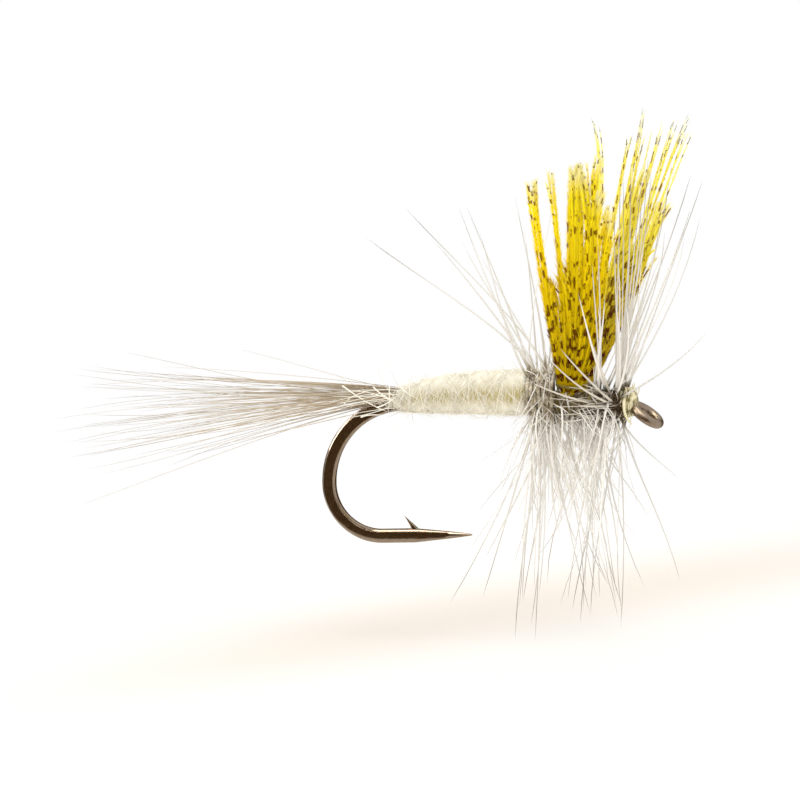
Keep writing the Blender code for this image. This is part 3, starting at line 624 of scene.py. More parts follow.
class FLY_OT_hook(bpy.types.Operator):
    """Bends, forges and barbs the hook"""

    bl_idname = "fly.hook"
    bl_label = "Hook"

    def execute(self, context):
        wire = make_wire()
        raise_barb(wire)
        select_only(wire)
        bpy.ops.object.shade_smooth_by_angle(angle=math.radians(24))
        hand_over(wire, bronzed_steel(context.scene.fly_colours), "bronzed_steel", "hook")
        return {"FINISHED"}


GOLDEN_TURN = math.radians(137.508)
TAIL_SEED = 11
TAIL_TUFT = 5
TAIL_TIP = 0.013 * MM
# The tail's droop, and how far it fans up and down and to the sides, in degrees.
TAIL_DROOP, TAIL_FAN, TAIL_SPLAY = -3.6, 10.0, 7.0
# Half the width and height of the bunch where it is tied in.
TAIL_BUNCH = (0.32 * MM, 0.20 * MM)
TAIL_WANDER = 0.024
# Tail fibres that stand off from the bunch: rise, swing to the far side, length in mm.
TAIL_STRAYS = ((15.0, 4, 8.0), (-16.5, -5, 15.2), (4.6, 3, 12.9), (3.4, -4, 12.2), (-12.5, 4, 12.8))


class FLY_OT_tail(bpy.types.Operator):
    """Ties in the tail: a fanned bunch of fine dun fibres"""

    bl_idname = "fly.tail"
    bl_label = "Tail"

    def execute(self, context):
        sizes, colours = context.scene.fly_sizes, context.scene.fly_colours
        rng = random.Random(TAIL_SEED)
        root = Vector((BEND_START + 0.35 * MM, 0, SEAT))
        ways = [(rise, swing, length * MM, 0.6 * math.copysign(1, rise + 4.5), rng.uniform(-0.6, 0.6))
                for rise, swing, length in TAIL_STRAYS]
        tufts = math.ceil(sizes.tail_fibres / TAIL_TUFT)
        for index in range(sizes.tail_fibres):
            tuft = index // TAIL_TUFT
            radius = math.sqrt((tuft + 0.5) / tufts)
            high = radius * math.sin(tuft * GOLDEN_TURN)
            side = radius * math.cos(tuft * GOLDEN_TURN)
            rise = TAIL_DROOP + TAIL_FAN * high * abs(high) ** 0.25 + rng.gauss(0, 0.9)
            length = sizes.tail_length * rng.uniform(0.35, 1.02) ** 0.6 * (1 - 0.10 * abs(high))
            ways.append((rise, TAIL_SPLAY * side + rng.gauss(0, 1.2), length, high, side))
        strands = []
        for rise, swing, length, high, side in ways:
            start = root + Vector((0, side * TAIL_BUNCH[0], high * TAIL_BUNCH[1]))
            rise, swing = math.radians(rise), math.radians(swing)
            level = math.cos(swing)
            way = Vector((-math.cos(rise) * level, math.sin(swing), math.sin(rise) * level))
            stray = [Vector((0, rng.gauss(0, 1), rng.gauss(0, 1))) * length * TAIL_WANDER for _ in range(3)]
            path = bezier((start, start + Vector((-1, 0, 0)) * length * 0.16 + way * length * 0.12 + stray[0],
                           start + way * length * 0.66 + stray[1], start + way * length + stray[2]))
            width = taper(sizes.tail_width * rng.uniform(0.6, 1.4), TAIL_TIP, 1.4)
            strands.append(Strand(path, (0.0, 0.3, 1.0), width, 0.8, rng.random()))
        piece = lay_strands("tail_fibres", model_strand(5, 11), strands)
        # The tail's darker root is painted shade for the dense bunch.
        material = feather_fibre("dun_tail_fibre", colours.tail_root_shade, colours.tail, colours.tail_tip, 0.4,
                                 low_end=0.42, high_start=0.60, darkest=0.58)
        hand_over(piece, material, "dun_feather", *[f"tail_fibre_{number:02d}" for number in range(1, 17)])
        return {"FINISHED"}


# Loose cream hairs over the tail's root and the bend: three places each, along the shank and up, in mm.
LOOSE_HAIRS = (
    ((-12.78, 1.34), (-11.76, 0.59), (-10.82, 0.21)), ((-11.46, 1.30), (-11.16, 0.97), (-10.56, 0.63)),
    ((-10.75, 1.34), (-10.78, 0.72), (-10.86, 0.15)), ((-12.73, 0.59), (-12.39, 0.96), (-11.60, 1.12)),
    ((-12.05, 0.02), (-11.75, 0.14), (-11.00, 0.10)), ((-11.20, 1.05), (-10.80, 0.80), (-10.30, 0.45)),
    ((-9.90, 1.62), (-9.86, 1.10), (-9.95, 0.62)), ((-11.35, 0.42), (-10.90, 0.55), (-10.40, 0.95)),
    ((-10.30, 1.30), (-10.00, 0.95), (-9.30, 0.70)), ((-9.60, 0.62), (-9.20, 0.92), (-8.70, 1.12)))
LOOSE_SIDE = -0.62 * MM
# Stations of the fur body: place along the shank, radius, height of its middle.
BODY_STATIONS = np.array([
    (-10.94, 0.10, 0.60), (-10.80, 0.34, 0.62), (-10.42, 0.52, 0.67), (-9.40, 0.70, 0.79),
    (-8.35, 0.80, 0.89), (-6.80, 0.90, 0.94), (-5.60, 0.95, 0.96), (-5.02, 0.95, 0.96),
    (-4.90, 0.75, 0.96)]) * MM
BODY_SEED = 23
FULL_REAR, FULL_FRONT = BODY_STATIONS[1, 0], BODY_STATIONS[-2, 0]
ROPE_PITCH = 0.62 * MM
ROPE_RIDGE = 0.016 * MM
FUR_LUMP = 0.05 * MM
LUMP_SIZE = 0.55 * MM
# The hairs stand on a core that lies this far inside the stations.
FUR_DEPTH = 0.05 * MM
STRAY_HAIRS, END_HAIRS = 60, 30


def body_radius(x):
    """Radius of the fur body at this place."""
    return np.interp(x, BODY_STATIONS[:, 0], BODY_STATIONS[:, 1])


def body_middle(x):
    """Height of the body's middle at this place."""
    return np.interp(x, BODY_STATIONS[:, 0], BODY_STATIONS[:, 2])


def thin_fur_and_shade(height):
    """How thin the fur lies at this height, as a share of the radius: thin on the flanks, where its colour
    also takes a painted shade.
    """
    return math.exp(-((height - 0.04) / 0.47) ** 2)


def make_fur_body():
    """The spun fur: a cylinder cut into rings, drawn to a carrot shape with the turns of its rope."""
    rear, front = BODY_STATIONS[0, 0], BODY_STATIONS[-1, 0]
    body = ringed_cylinder(0, 110, vertices=56, radius=1.0, rotation=(0, math.pi / 2, 0))
    bpy.ops.object.mode_set(mode="OBJECT")
    thin = []
    for point in body.data.vertices:
        x = rear + (point.co.x + 0.5) * (front - rear)
        turn = math.atan2(point.co.z, point.co.y)
        radius = float(body_radius(x))
        rope = ROPE_RIDGE * math.sin(FULL_TURN * (x / ROPE_PITCH) + turn)
        spot = Vector((x, math.cos(turn) * radius, math.sin(turn) * radius))
        lump = FUR_LUMP * noise.noise(spot / LUMP_SIZE)
        reach = max(radius + rope + lump, FUR_DEPTH) - FUR_DEPTH
        point.co = Vector((x, math.cos(turn) * reach, float(body_middle(x)) + math.sin(turn) * reach))
        # The thin mark paints olive shade along the middle height of the flanks.
        height = point.co.z - float(body_middle(point.co.x))
        thin.append(thin_fur_and_shade(height / float(body_radius(point.co.x))))
    mark_points(body.data, "thin", thin)
    body.name = body.data.name = "fur_body"
    bpy.ops.object.shade_smooth()
    return body


def hair_round_body(x, turn, length, lift, slope, hand):
    """Path of a hair that lies round the body and lifts off towards its tip."""
    def path(shares):
        places = x + slope * length * shares
        radius = body_radius(np.clip(places, FULL_REAR, FULL_FRONT)) - 0.04 * MM
        around = hand * length * math.sqrt(max(1 - slope * slope, 0.05))
        angle = turn + around * shares / np.maximum(radius, 0.3 * MM)
        reach = radius + 0.03 * MM * np.sin(shares * math.pi) + lift * shares ** 2
        return np.stack((places, np.cos(angle) * reach, body_middle(places) + np.sin(angle) * reach), axis=1)
    return path


def fur_strands(count, rng):
    """Hairs of the body: those spun round it, coarser strays, loose ends and those listed one by one."""
    strands = []

    def add(path, broad, widths, tip):
        width = taper(rng.uniform(*widths) * MM, tip * MM)
        strands.append(Strand(path, broad, width, 1.0, rng.random()))

    for _ in range(count):
        x = rng.uniform(FULL_REAR, FULL_FRONT)
        length = rng.uniform(0.5, 1.8) * MM
        lift = abs(rng.gauss(0, 0.17)) * MM
        turn = rng.uniform(0, FULL_TURN)
        if rng.random() < 0.9 * thin_fur_and_shade(math.sin(turn)):
            continue
        path = hair_round_body(x, turn, length, lift, rng.uniform(-0.85, 0.85), rng.choice((-1, 1, 1)))
        add(path, (1.0, 0.1, 0.1), (0.012, 0.022), 0.005)
    for _ in range(STRAY_HAIRS):
        x, turn = rng.uniform(FULL_REAR, FULL_FRONT), rng.uniform(0, FULL_TURN)
        path = hair_round_body(x, turn, rng.uniform(1.0, 2.6) * MM, rng.uniform(0.15, 0.6) * MM,
                               rng.uniform(-0.9, 0.9), rng.choice((-1, 1)))
        add(path, (1.0, 0.1, 0.1), (0.032, 0.048), 0.012)
    for _ in range(END_HAIRS):
        x, turn = rng.uniform(FULL_REAR - 0.1 * MM, FULL_REAR + 0.8 * MM), rng.uniform(0, FULL_TURN)
        reach = float(body_radius(x)) * 0.8
        start = Vector((x, math.cos(turn) * reach, float(body_middle(x)) + math.sin(turn) * reach))
        way = Vector((rng.uniform(-1.0, -0.2), math.cos(turn) * 0.4 + rng.gauss(0, 0.3), rng.gauss(0, 0.25)))
        way = way.normalized() * rng.uniform(0.9, 3.4) * MM
        bend = Vector((rng.gauss(0, 1), rng.gauss(0, 1), rng.gauss(0, 1))) * 0.12 * MM
        add(bowed(start, way, bend), (0.1, 0.1, 1.0), (0.030, 0.050), 0.014)
    for spots in LOOSE_HAIRS:
        first, middle, last = (Vector((x * MM, LOOSE_SIDE, z * MM)) for x, z in spots)
        path = bezier((first, first.lerp(middle, 0.8), last.lerp(middle, 0.8), last))
        width = taper(rng.uniform(0.055, 0.085) * MM, 0.030 * MM)
        strands.append(Strand(path, (0.1, 0.1, 1.0), width, 0.7, rng.uniform(0.6, 1.0)))
    return strands


class FLY_OT_body(bpy.types.Operator):
    """Spins the fur body and teases out its hairs"""

    bl_idname = "fly.body"
    bl_label = "Fur body"

    def execute(self, context):
        sizes, colours = context.scene.fly_sizes, context.scene.fly_colours
        hand_over(make_fur_body(), spun_fur(colours), "spun_fur", "dubbed_body",
                  "tail_wraps", "butt_wraps", "wing_butts")
        strands = fur_strands(sizes.fur_hairs, random.Random(BODY_SEED))
        fuzz = lay_strands("fur_hairs", model_strand(3, 4), strands, smooth=False)
        material = feather_fibre("fur_hair", colours.fur, colours.fur, colours.fur, 0.6)
        hand_over(fuzz, material, "spun_fur", "dubbed_body")
        return {"FINISHED"}


Clump = namedtuple("Clump", "middle tip height count")
Wing = namedtuple("Wing", "name side clumps root spread loss seed")

# Clumps of barbs in each wing, in mm: place along the shank half way up and at the tip, height, number.
NEAR_CLUMPS = (
    Clump(-3.62, -3.55, 10.3, 9), Clump(-3.35, -3.28, 5.4, 10), Clump(-2.95, -2.90, 5.6, 10),
    Clump(-2.86, -2.62, 10.5, 4), Clump(-2.65, -2.55, 6.2, 10), Clump(-2.42, -1.82, 10.9, 20),
    Clump(-2.12, -1.42, 10.9, 20), Clump(-1.80, -0.60, 11.4, 9), Clump(-1.78, -0.90, 9.8, 14),
    Clump(-1.60, -0.46, 8.9, 16), Clump(-2.05, -1.62, 4.2, 12))
FAR_CLUMPS = (
    Clump(-2.45, -2.80, 11.9, 2), Clump(-2.40, -2.62, 11.5, 2), Clump(-2.35, -1.85, 5.2, 12),
    Clump(-2.00, -1.15, 11.0, 5), Clump(-1.95, -0.85, 6.4, 13), Clump(-1.70, -0.84, 10.8, 3),
    Clump(-1.60, -0.55, 9.7, 13), Clump(-1.50, -0.51, 12.0, 4), Clump(-1.55, -0.20, 6.5, 13),
    Clump(-1.35, -0.09, 11.1, 2), Clump(-1.20, 0.23, 11.6, 3), Clump(-1.15, 0.10, 7.4, 8),
    Clump(-1.00, 0.63, 11.0, 2), Clump(-0.95, 0.45, 8.2, 8), Clump(-0.85, 0.83, 11.7, 3),
    Clump(-0.65, 1.37, 11.9, 4), Clump(-0.50, 1.58, 11.1, 2))
# Each wing's root: how far ahead of the wing's middle it stands and half its width. Its barbs leave it
# early or late. Loss says how much of the side hairs goes towards the tip, and how late.
NEAR_WING = Wing("near_wing", -1, NEAR_CLUMPS, (-0.20 * MM, 0.20 * MM), 0.82, (0.55, 4.0), 31)
FAR_WING = Wing("far_wing", 1, FAR_CLUMPS, (0.25 * MM, 0.30 * MM), 0.60, (0.98, 2.4), 37)
WING_LEAN = math.radians(20)
WING_APART = 0.25 * MM
VANE_PITCH = 0.11 * MM
VANE_ROOT, VANE_TIP = 0.040 * MM, 0.006 * MM
FULL_WING = 12.0 * MM
BARRED_SHARE = 0.85


def barb_width(keep):
    """Width along a wing barb, which keeps this share of it at the tip."""
    spots = (0.0, 0.15, 0.55, 0.82, 1.0)
    widths = (0.05, 0.065, 0.04 + 0.03 * keep, 0.028 + 0.03 * keep, 0.014 + 0.02 * keep)
    return lambda shares: np.interp(shares, spots, widths) * MM


def wing_barbs(wing, sizes, rng):
    """Shafts of one wing, and its side hairs, each with its spot on its shaft and the shaft's reach."""
    up = np.array((0.0, wing.side * math.sin(WING_LEAN), math.cos(WING_LEAN)))
    out = np.array((0.0, wing.side * math.cos(WING_LEAN), -math.sin(WING_LEAN)))
    base = np.array((0.0, wing.side * WING_APART, SEAT))
    barbs = [clump for clump in wing.clumps for _ in range(clump.count)]
    shafts, hairs = [], []
    for rank, clump in enumerate(barbs):
        share = rank / (len(barbs) - 1) * 2 - 1
        root = WING_CENTRE + wing.root[0] + share * wing.root[1] + rng.uniform(-0.05, 0.05) * MM
        scatter = 0.065 * math.sqrt(clump.count)
        middle = (clump.middle + rng.gauss(0, 0.6) * scatter) * MM
        tip = (clump.tip + rng.gauss(0, 0.75) * scatter) * MM
        height = (clump.height - abs(rng.gauss(0, 0.4))) * MM
        depth = [rng.uniform(-half, half) * MM for half in (0.16, 0.26, 0.35)]
        low = root + wing.spread * (middle - root)
        # The third handle that takes the curve through the clump's middle half way up.
        high = (middle - 0.125 * root - 0.375 * low - 0.125 * tip) / 0.375
        path = bezier((base + AHEAD * root + out * depth[0] * 0.6,
                       base + AHEAD * low + up * height * 0.2 + out * depth[0],
                       base + AHEAD * high + up * height * 0.78 + out * depth[1],
                       base + AHEAD * tip + up * height + out * depth[2]))
        tint, shift, drift = rng.random(), rng.gauss(0, 0.06), rng.uniform(-1.0, 1.0)
        barred = float(rng.random() < BARRED_SHARE)

        def bars(shares, height=height, shift=shift, drift=drift, barred=barred):
            return barred * (shares * height / sizes.bar_pitch + shift + drift * shares ** 2)

        reach = height / FULL_WING
        shafts.append(Strand(path, AHEAD, barb_width(1 - wing.loss[0]), 0.25, tint, bars, reach))
        spots = np.linspace(0.02, 0.97, int(height / VANE_PITCH))
        centre = path(spots)
        for spot, place, way in zip(spots, centre, unit(np.gradient(centre, axis=0))):
            band = float(bars(np.array([spot]))[0])
            kept = 1 - wing.loss[0] * (spot * reach) ** wing.loss[1]
            for hand in (-1, 1):
                splay = math.radians(rng.uniform(10, 26))
                length = sizes.vane * rng.uniform(0.6, 1.15) * kept
                heading = way * math.cos(splay) + hand * AHEAD * math.sin(splay)
                heading = heading + out * rng.uniform(-0.16, 0.16)
                bend = place + heading * length * 0.5 + hand * AHEAD * length * 0.05
                climb = barred * length * math.cos(splay) / sizes.bar_pitch
                hairs.append((spot, reach, Strand(
                    bezier((place, bend, bend, place + heading * length)), out, taper(VANE_ROOT, VANE_TIP),
                    1.0, tint, lambda shares, band=band, climb=climb: band + climb * shares)))
    return shafts, hairs


class FLY_OT_wings(bpy.types.Operator):
    """Sets the pair of barred flank wings upright and splits them"""

    bl_idname = "fly.wings"
    bl_label = "Wings"

    def execute(self, context):
        sizes, colours = context.scene.fly_sizes, context.scene.fly_colours
        full = barred_flank("dyed_barred_flank", colours, colours.wing, colours.wing_end, 0.15, -0.06)
        thin = barred_flank("thin_barred_flank", colours, colours.wing_thin, colours.wing_tip, 0.45, 0.15)
        shaft, hair = model_strand(5, 27), model_strand(3, 0)
        ends = hair[0][:, 2]
        for wing, material in ((NEAR_WING, full), (FAR_WING, thin)):
            shafts, hairs = wing_barbs(wing, sizes, random.Random(wing.seed))
            nodes = [f"{wing.name}_barb_{number:02d}" for number in range(1, 15)]
            hand_over(lay_strands(f"{wing.name}_shafts", shaft, shafts), material, "barred_feather", *nodes)
            spots, reaches, strands = zip(*hairs)
            vanes = lay_strands(f"{wing.name}_vanes", hair, strands, smooth=False)
            mark_points(vanes.data, "out", np.tile(ends, len(hairs)))
            mark_points(vanes.data, "along", np.repeat(np.multiply(spots, reaches), len(ends)))
            mark_points(vanes.data, "end", np.repeat(spots, len(ends)))
            hand_over(vanes, material, "barred_feather", *nodes)
        return {"FINISHED"}


Collar = namedtuple("Collar", "name rear front radius height turns")
Sector = namedtuple("Sector", "count middle half leans lengths widths wander roots")

# Barbs listed one by one: turn round the shank from straight up towards the far side, lean along the shank,
# length.
REAR_SET = (
    (0, -51, 9.1), (-4, -39, 9.1), (8, -30, 6.2), (-12, -33, 7.2), (-6, -17, 7.6), (10, -10, 7.4),
    (-16, -22, 6.6), (4, -4, 6.2), (-24, -8, 7.2), (22, -26, 7.8), (180, -27, 7.0), (174, -20, 8.5),
    (-175, -8, 9.5), (178, -4, 9.7), (-178, -27, 9.0), (-120, -34, 4.2), (-165, -15, 6.6), (170, -12, 8.6))
FRONT_SET = (
    (-12, 6, 9.6), (0, 5, 9.5), (6, 9, 9.9), (-8, 13, 9.6), (4, 16, 9.2), (0, 22, 9.8), (20, 18, 9.4),
    (-30, 50, 5.6), (12, 24, 7.9), (-6, 19, 7.2), (10, 6, 8.8), (16, 4, 8.4), (-16, 5, 8.6), (8, 2, 8.8),
    (-4, 4, 9.0), (180, -1, 8.9), (-172, 9, 8.0), (178, 12, 7.4), (-170, 20, 7.2), (178, 42, 3.5),
    (176, 5, 6.4), (-176, -9, 8.5), (172, -12, 8.8))
# Listed barbs that lean forwards start in this foremost share of their collar, and bow out as they rise.
FOREMOST = 0.35
FORWARD_BOW = 0.16
# How much listed barbs wander, how far round their roots scatter in degrees, and their lightest tint.
SET_MANNER = (0.3, 20, 0.35)
# Widths of barbs in mm, and the sectors that they grow in: number, middle and half of the turn, leans,
# shares of a full length, widths, how much they wander, and how far round their roots scatter.
THIN, LINE, BROAD, WEB, FULL = (0.05, 0.08), (0.08, 0.13), (0.10, 0.17), (0.04, 0.09), (0.05, 0.12)
REAR_SECTORS = (
    Sector(12, 180, 35, (-27, 14), (0.84, 1.08), FULL, 0.5, 26),
    Sector(33, 180, 45, (-14, 26), (0.26, 0.62), FULL, 0.9, 30),
    Sector(44, -130, 60, (-35, 45), (0.08, 0.24), WEB, 1.0, 45),
    Sector(14, 180, 50, (-25, 25), (0.15, 0.45), WEB, 1.0, 60),
    Sector(26, 0, 50, (-20, 14), (0.06, 0.22), WEB, 1.0, 80),
    Sector(4, 0, 50, (-25, 5), (0.6, 0.95), THIN, 0.4, 26),
    Sector(8, 90, 45, (-15, 8), (0.6, 1.0), THIN, 0.5, 26),
    Sector(5, -90, 45, (-20, 5), (0.6, 1.0), THIN, 0.5, 26))
MIDDLE_SECTORS = (
    Sector(7, 180, 35, (-24, 18), (0.84, 1.05), FULL, 0.5, 30),
    Sector(36, 180, 45, (-26, 26), (0.26, 0.66), FULL, 0.9, 40),
    Sector(36, -140, 60, (-55, 55), (0.08, 0.26), WEB, 1.0, 45),
    Sector(14, 180, 60, (-35, 35), (0.15, 0.45), WEB, 1.0, 60))
FRONT_SECTORS = (
    Sector(9, 180, 35, (-28, 16), (0.84, 1.03), FULL, 0.5, 26),
    Sector(24, 180, 45, (-32, 4), (0.26, 0.62), FULL, 0.9, 30),
    Sector(14, -140, 60, (-50, 30), (0.08, 0.24), WEB, 1.0, 45),
    Sector(10, 180, 50, (-35, 14), (0.15, 0.45), WEB, 1.0, 60),
    Sector(5, -30, 40, (-50, 14), (0.06, 0.22), WEB, 1.0, 70),
    Sector(13, -10, 40, (3, 16), (0.6, 1.02), BROAD, 0.3, 26),
    Sector(5, 0, 50, (10, 22), (0.6, 1.0), THIN, 0.5, 26),
    Sector(8, 90, 45, (-34, -6), (0.6, 1.0), THIN, 0.5, 26),
    Sector(4, -100, 40, (4, 25), (0.6, 1.0), THIN, 0.5, 26))
TUFT = 3
BARB_TIP = 0.020 * MM
STEM = 0.14 * MM
# The noise that sways a stem is drawn from the clock unless it is seeded.
STEM_SEED = 59
# Broad pale barbs of the front hackle, swept back across the wing's root: their ends and their sag, in mm.
SWEPT_ENDS = ((-3.76, -1.30, 2.62, 0.35), (-4.57, -1.20, 1.60, 0.22), (-2.62, -1.25, 0.62, 0.05),
              (-2.84, -1.50, 7.40, 0.45), (-3.30, -1.10, 3.00, 0.15))
SWEPT_WEBS = 22
FLAT_UP = (0.1, 0.1, 1.0)


def collar_strands(collar, placed, sectors, sizes, rng):
    """Barbs of one wound hackle: those listed one by one, then those of each sector."""
    ways = [(turn, lean, length * MM, rng.uniform(*LINE) * MM, *SET_MANNER) for turn, lean, length in placed]
    for sector in sectors:
        for number in range(sector.count):
            if number % TUFT == 0:
                turn = sector.middle + sector.half * rng.uniform(-1, 1)
                lean = rng.uniform(*sector.leans)
            ways.append((turn + rng.gauss(0, 7), lean + rng.gauss(0, 3.5),
                         sizes.barb_length * rng.uniform(*sector.lengths), rng.uniform(*sector.widths) * MM,
                         sector.wander, sector.roots, 1.0))
    strands = []
    for number, (turn, lean, length, width, wander, roots, lightest) in enumerate(ways):
        turn, lean = math.radians(turn), math.radians(lean)
        start_turn = turn + rng.gauss(0, math.radians(roots))
        forward = max(math.sin(lean), 0.0) if math.cos(turn) > 0 else 0.0
        place = rng.random()
        if forward and number < len(placed):
            place = 1 - place * FOREMOST
        centre = Vector((collar.rear + (collar.front - collar.rear) * place, 0, collar.height))
        radial = Vector(round_shank(start_turn))
        start = centre + radial * (collar.radius - 0.05 * MM)
        way = Vector((math.sin(lean), math.sin(turn) * math.cos(lean), math.cos(turn) * math.cos(lean)))
        stray = [Vector((rng.gauss(0, 1), rng.gauss(0, 1), rng.gauss(0, 0.6))) * wander * length * 0.09
                 for _ in range(2)]
        bow = Vector((forward * FORWARD_BOW * length, 0, 0))
        path = bezier((start, start + (radial * 0.4 + way * 0.6) * length * 0.25 + stray[0] + bow,
                       start + way * length * 0.62 + stray[1] + bow, start + way * length))
        broad = (0.0, 0.2, 1.0) if abs(way.x) > 0.6 else (1.0, 0.15, 0.1)
        strands.append(Strand(path, broad, taper(width, BARB_TIP, 0.9), 0.45, rng.random() * lightest,
                              reach=min(length / sizes.barb_length, 1.0)))
    return strands


def swept_strands(collar, rng):
    """The broad barbs that lie back across the wing's root, and the webby ones below them."""
    strands = []
    for *end, sag in SWEPT_ENDS:
        start = np.array((collar.front - rng.uniform(0.0, 0.4) * MM, -0.55 * MM,
                          collar.height + rng.uniform(-0.2, 0.45) * MM))
        sag = np.array((0.0, -0.5 * sag, -sag)) * MM
        path = bowed(start, np.array(end) * MM - start, sag, 0.35)
        width = taper(rng.uniform(0.10, 0.14) * MM, 0.03 * MM, 0.6)
        strands.append(Strand(path, FLAT_UP, width, 0.4, rng.uniform(0.0, 0.4), reach=0.6))
    for _ in range(SWEPT_WEBS):
        radial = round_shank(math.radians(rng.uniform(-130, -50)))
        x = collar.front - rng.uniform(0.0, 0.5) * MM
        start = np.array((x, 0.0, collar.height)) + radial * collar.radius
        run = np.array((-1.0, rng.gauss(-0.12, 0.12), rng.gauss(0, 0.22))) * rng.uniform(0.9, 2.9) * MM
        width = taper(rng.uniform(0.04, 0.08) * MM, BARB_TIP, 0.8)
        path = bowed(start, run, radial * 0.2 * MM)
        tint = rng.uniform(0.0, 0.6)
        strands.append(Strand(path, FLAT_UP, width, 0.6, tint, reach=rng.uniform(0.12, 0.22)))
    return strands


def crossing_strands(collar, count, rng):
    """Short webby barbs that lie flat across the turns of a wound stem."""
    strands = []
    for _ in range(count):
        turn, slant = rng.uniform(0, FULL_TURN), rng.uniform(-0.6, 0.6)
        radial = round_shank(turn)
        around = np.array((0.0, math.cos(turn), -math.sin(turn))) * rng.choice((-1, 1))
        run = (around * math.cos(slant) + AHEAD * math.sin(slant)) * (rng.uniform(0.9, 2.3) * MM)
        touch = np.array((rng.uniform(collar.rear, collar.front), 0.0, collar.height))
        start = touch + radial * (collar.radius + 0.02 * MM) - run * 0.4
        path = bowed(start, run, radial * rng.uniform(0.0, 0.16) * MM, 0.33, 0.67)
        width = taper(rng.uniform(0.04, 0.10) * MM, BARB_TIP, 0.8)
        broad = np.cross(run, radial)
        strands.append(Strand(path, broad, width, 0.5, rng.random(), reach=rng.uniform(0.1, 0.3)))
    return strands


def make_stem(collar):
    """The hackle's own stem, wound round in touching turns that sway a little."""
    noise.seed_set(STEM_SEED)
    route = []
    steps = 40 * collar.turns
    for step in range(steps + 1):
        angle = FULL_TURN * collar.turns * step / steps
        sway = noise.noise_vector(Vector((angle * 0.9, collar.turns, 0.5)))
        x = collar.rear + (collar.front - collar.rear) * step / steps + 0.10 * MM * sway.x
        route.append(on_turn(x, angle, collar.radius - STEM * 0.4 + 0.09 * MM * sway.y, collar.height))
    return wind(f"{collar.name}_stem", route, STEM)


class FLY_OT_hackles(bpy.types.Operator):
    """Winds the rear and front hackles"""

    bl_idname = "fly.hackles"
    bl_label = "Hackles"

    def execute(self, context):
        sizes, colours = context.scene.fly_sizes, context.scene.fly_colours
        barb = model_strand(5, 8)
        pale = feather_fibre("dun_hackle_barb", colours.dun_root, colours.dun, colours.dun_tip, 0.4,
                             low_end=0.12, high_start=0.62, darkest=0.80)
        # The front and middle collars take darker barb roots: partly the feather's base, partly painted shade
        # behind the wings and head.
        shade_rooted = feather_fibre("shade_rooted_dun_hackle_barb", colours.stem_pale, colours.dun, colours.dun_tip, 0.4,
                             low_end=0.09, high_start=0.62, darkest=0.74)
        cream = feather_fibre("cream_hackle_barb", colours.stem_worn, colours.cream, colours.dun, 0.4,
                              low_end=0.14, high_start=0.62)
        # The rear stem's deep patches are painted shade.
        pale_stem = waxed_thread("pale_hackle_stem", colours.stem_shade, colours.stem_light)
        olive_stem = waxed_thread("olive_hackle_stem", colours.lashing_deep_in_shade, colours.stem_pale)
        # The front stem's near black is painted shade for the gaps between the barbs round it.
        dark_stem = waxed_thread("dark_hackle_stem", colours.stem, colours.stem_worn)
        under_wing = (REAR_HACKLE_FRONT - 0.1 * MM, FRONT_HACKLE_REAR + 0.1 * MM)
        rear = Collar("rear_hackle", REAR_HACKLE_REAR, REAR_HACKLE_FRONT, 0.94 * MM,
                      SHANK_HEIGHT + 0.43 * MM, 7)
        middle = Collar("middle_hackle", *under_wing, 0.48 * MM, SHANK_HEIGHT, 11)
        front = Collar("front_hackle", FRONT_HACKLE_REAR, HEAD_REAR + 0.56 * MM, 0.60 * MM, SHANK_HEIGHT, 8)
        for collar, placed, sectors, crossing, seed, solid, dun, stem in (
                (rear, REAR_SET, REAR_SECTORS, 26, 41, "rear_hackle", pale, pale_stem),
                (middle, (), MIDDLE_SECTORS, 12, 47, "rear_hackle", shade_rooted, olive_stem),
                (front, FRONT_SET, FRONT_SECTORS, 8, 43, "front_hackle", shade_rooted, dark_stem)):
            rng = random.Random(seed)
            strands = collar_strands(collar, placed, sectors, sizes, rng)
            strands += crossing_strands(collar, crossing, rng)
            if collar is front:
                swept = lay_strands("swept_barbs", barb, swept_strands(front, rng))
                hand_over(swept, cream, "hackle_feather", solid)
            hand_over(lay_strands(f"{collar.name}_barbs", barb, strands), dun, "hackle_feather", solid)
            hand_over(make_stem(collar), stem, "hackle_feather", solid)
        return {"FINISHED"}


# The head's outline: share of the way from its rear to its front, and radius in mm.
HEAD_STATIONS = np.array([
    (0.0, 0.50), (0.3, 0.54), (0.58, 0.63), (0.76, 0.60), (0.88, 0.44), (0.95, 0.38), (1.0, 0.30)])
HEAD_LAP = 0.36 * MM
HEAD_LENGTH = HEAD_FRONT + HEAD_LAP - HEAD_REAR
HEAD_RISE = 0.06 * MM
HEAD_THREAD = 0.085 * MM
HEAD_TURNS, HEAD_STEPS = 9, 360
KNOT_TURNS, KNOT_STEPS = 3, 60
HEAD_SEED = 53
HEAD_WISPS = 26
# The cut end of the thread, hanging over the near side of the head: four handles in mm.
HEAD_TAG = ((-0.72, -0.30, 1.00), (-0.88, -0.86, 0.70), (-0.80, -0.80, 0.00), (-0.52, -0.50, -0.32))
WISP_BROAD = (1.0, 0.2, 0.1)


def head_radius(share):
    """Radius of the head at this share of its length."""
    return np.interp(share, HEAD_STATIONS[:, 0], HEAD_STATIONS[:, 1]) * MM


def head_middle(share):
    """Height of the head's middle, which lifts over the eye's end."""
    return SHANK_HEIGHT + HEAD_RISE * float(ease((share - 0.45) / 0.3))


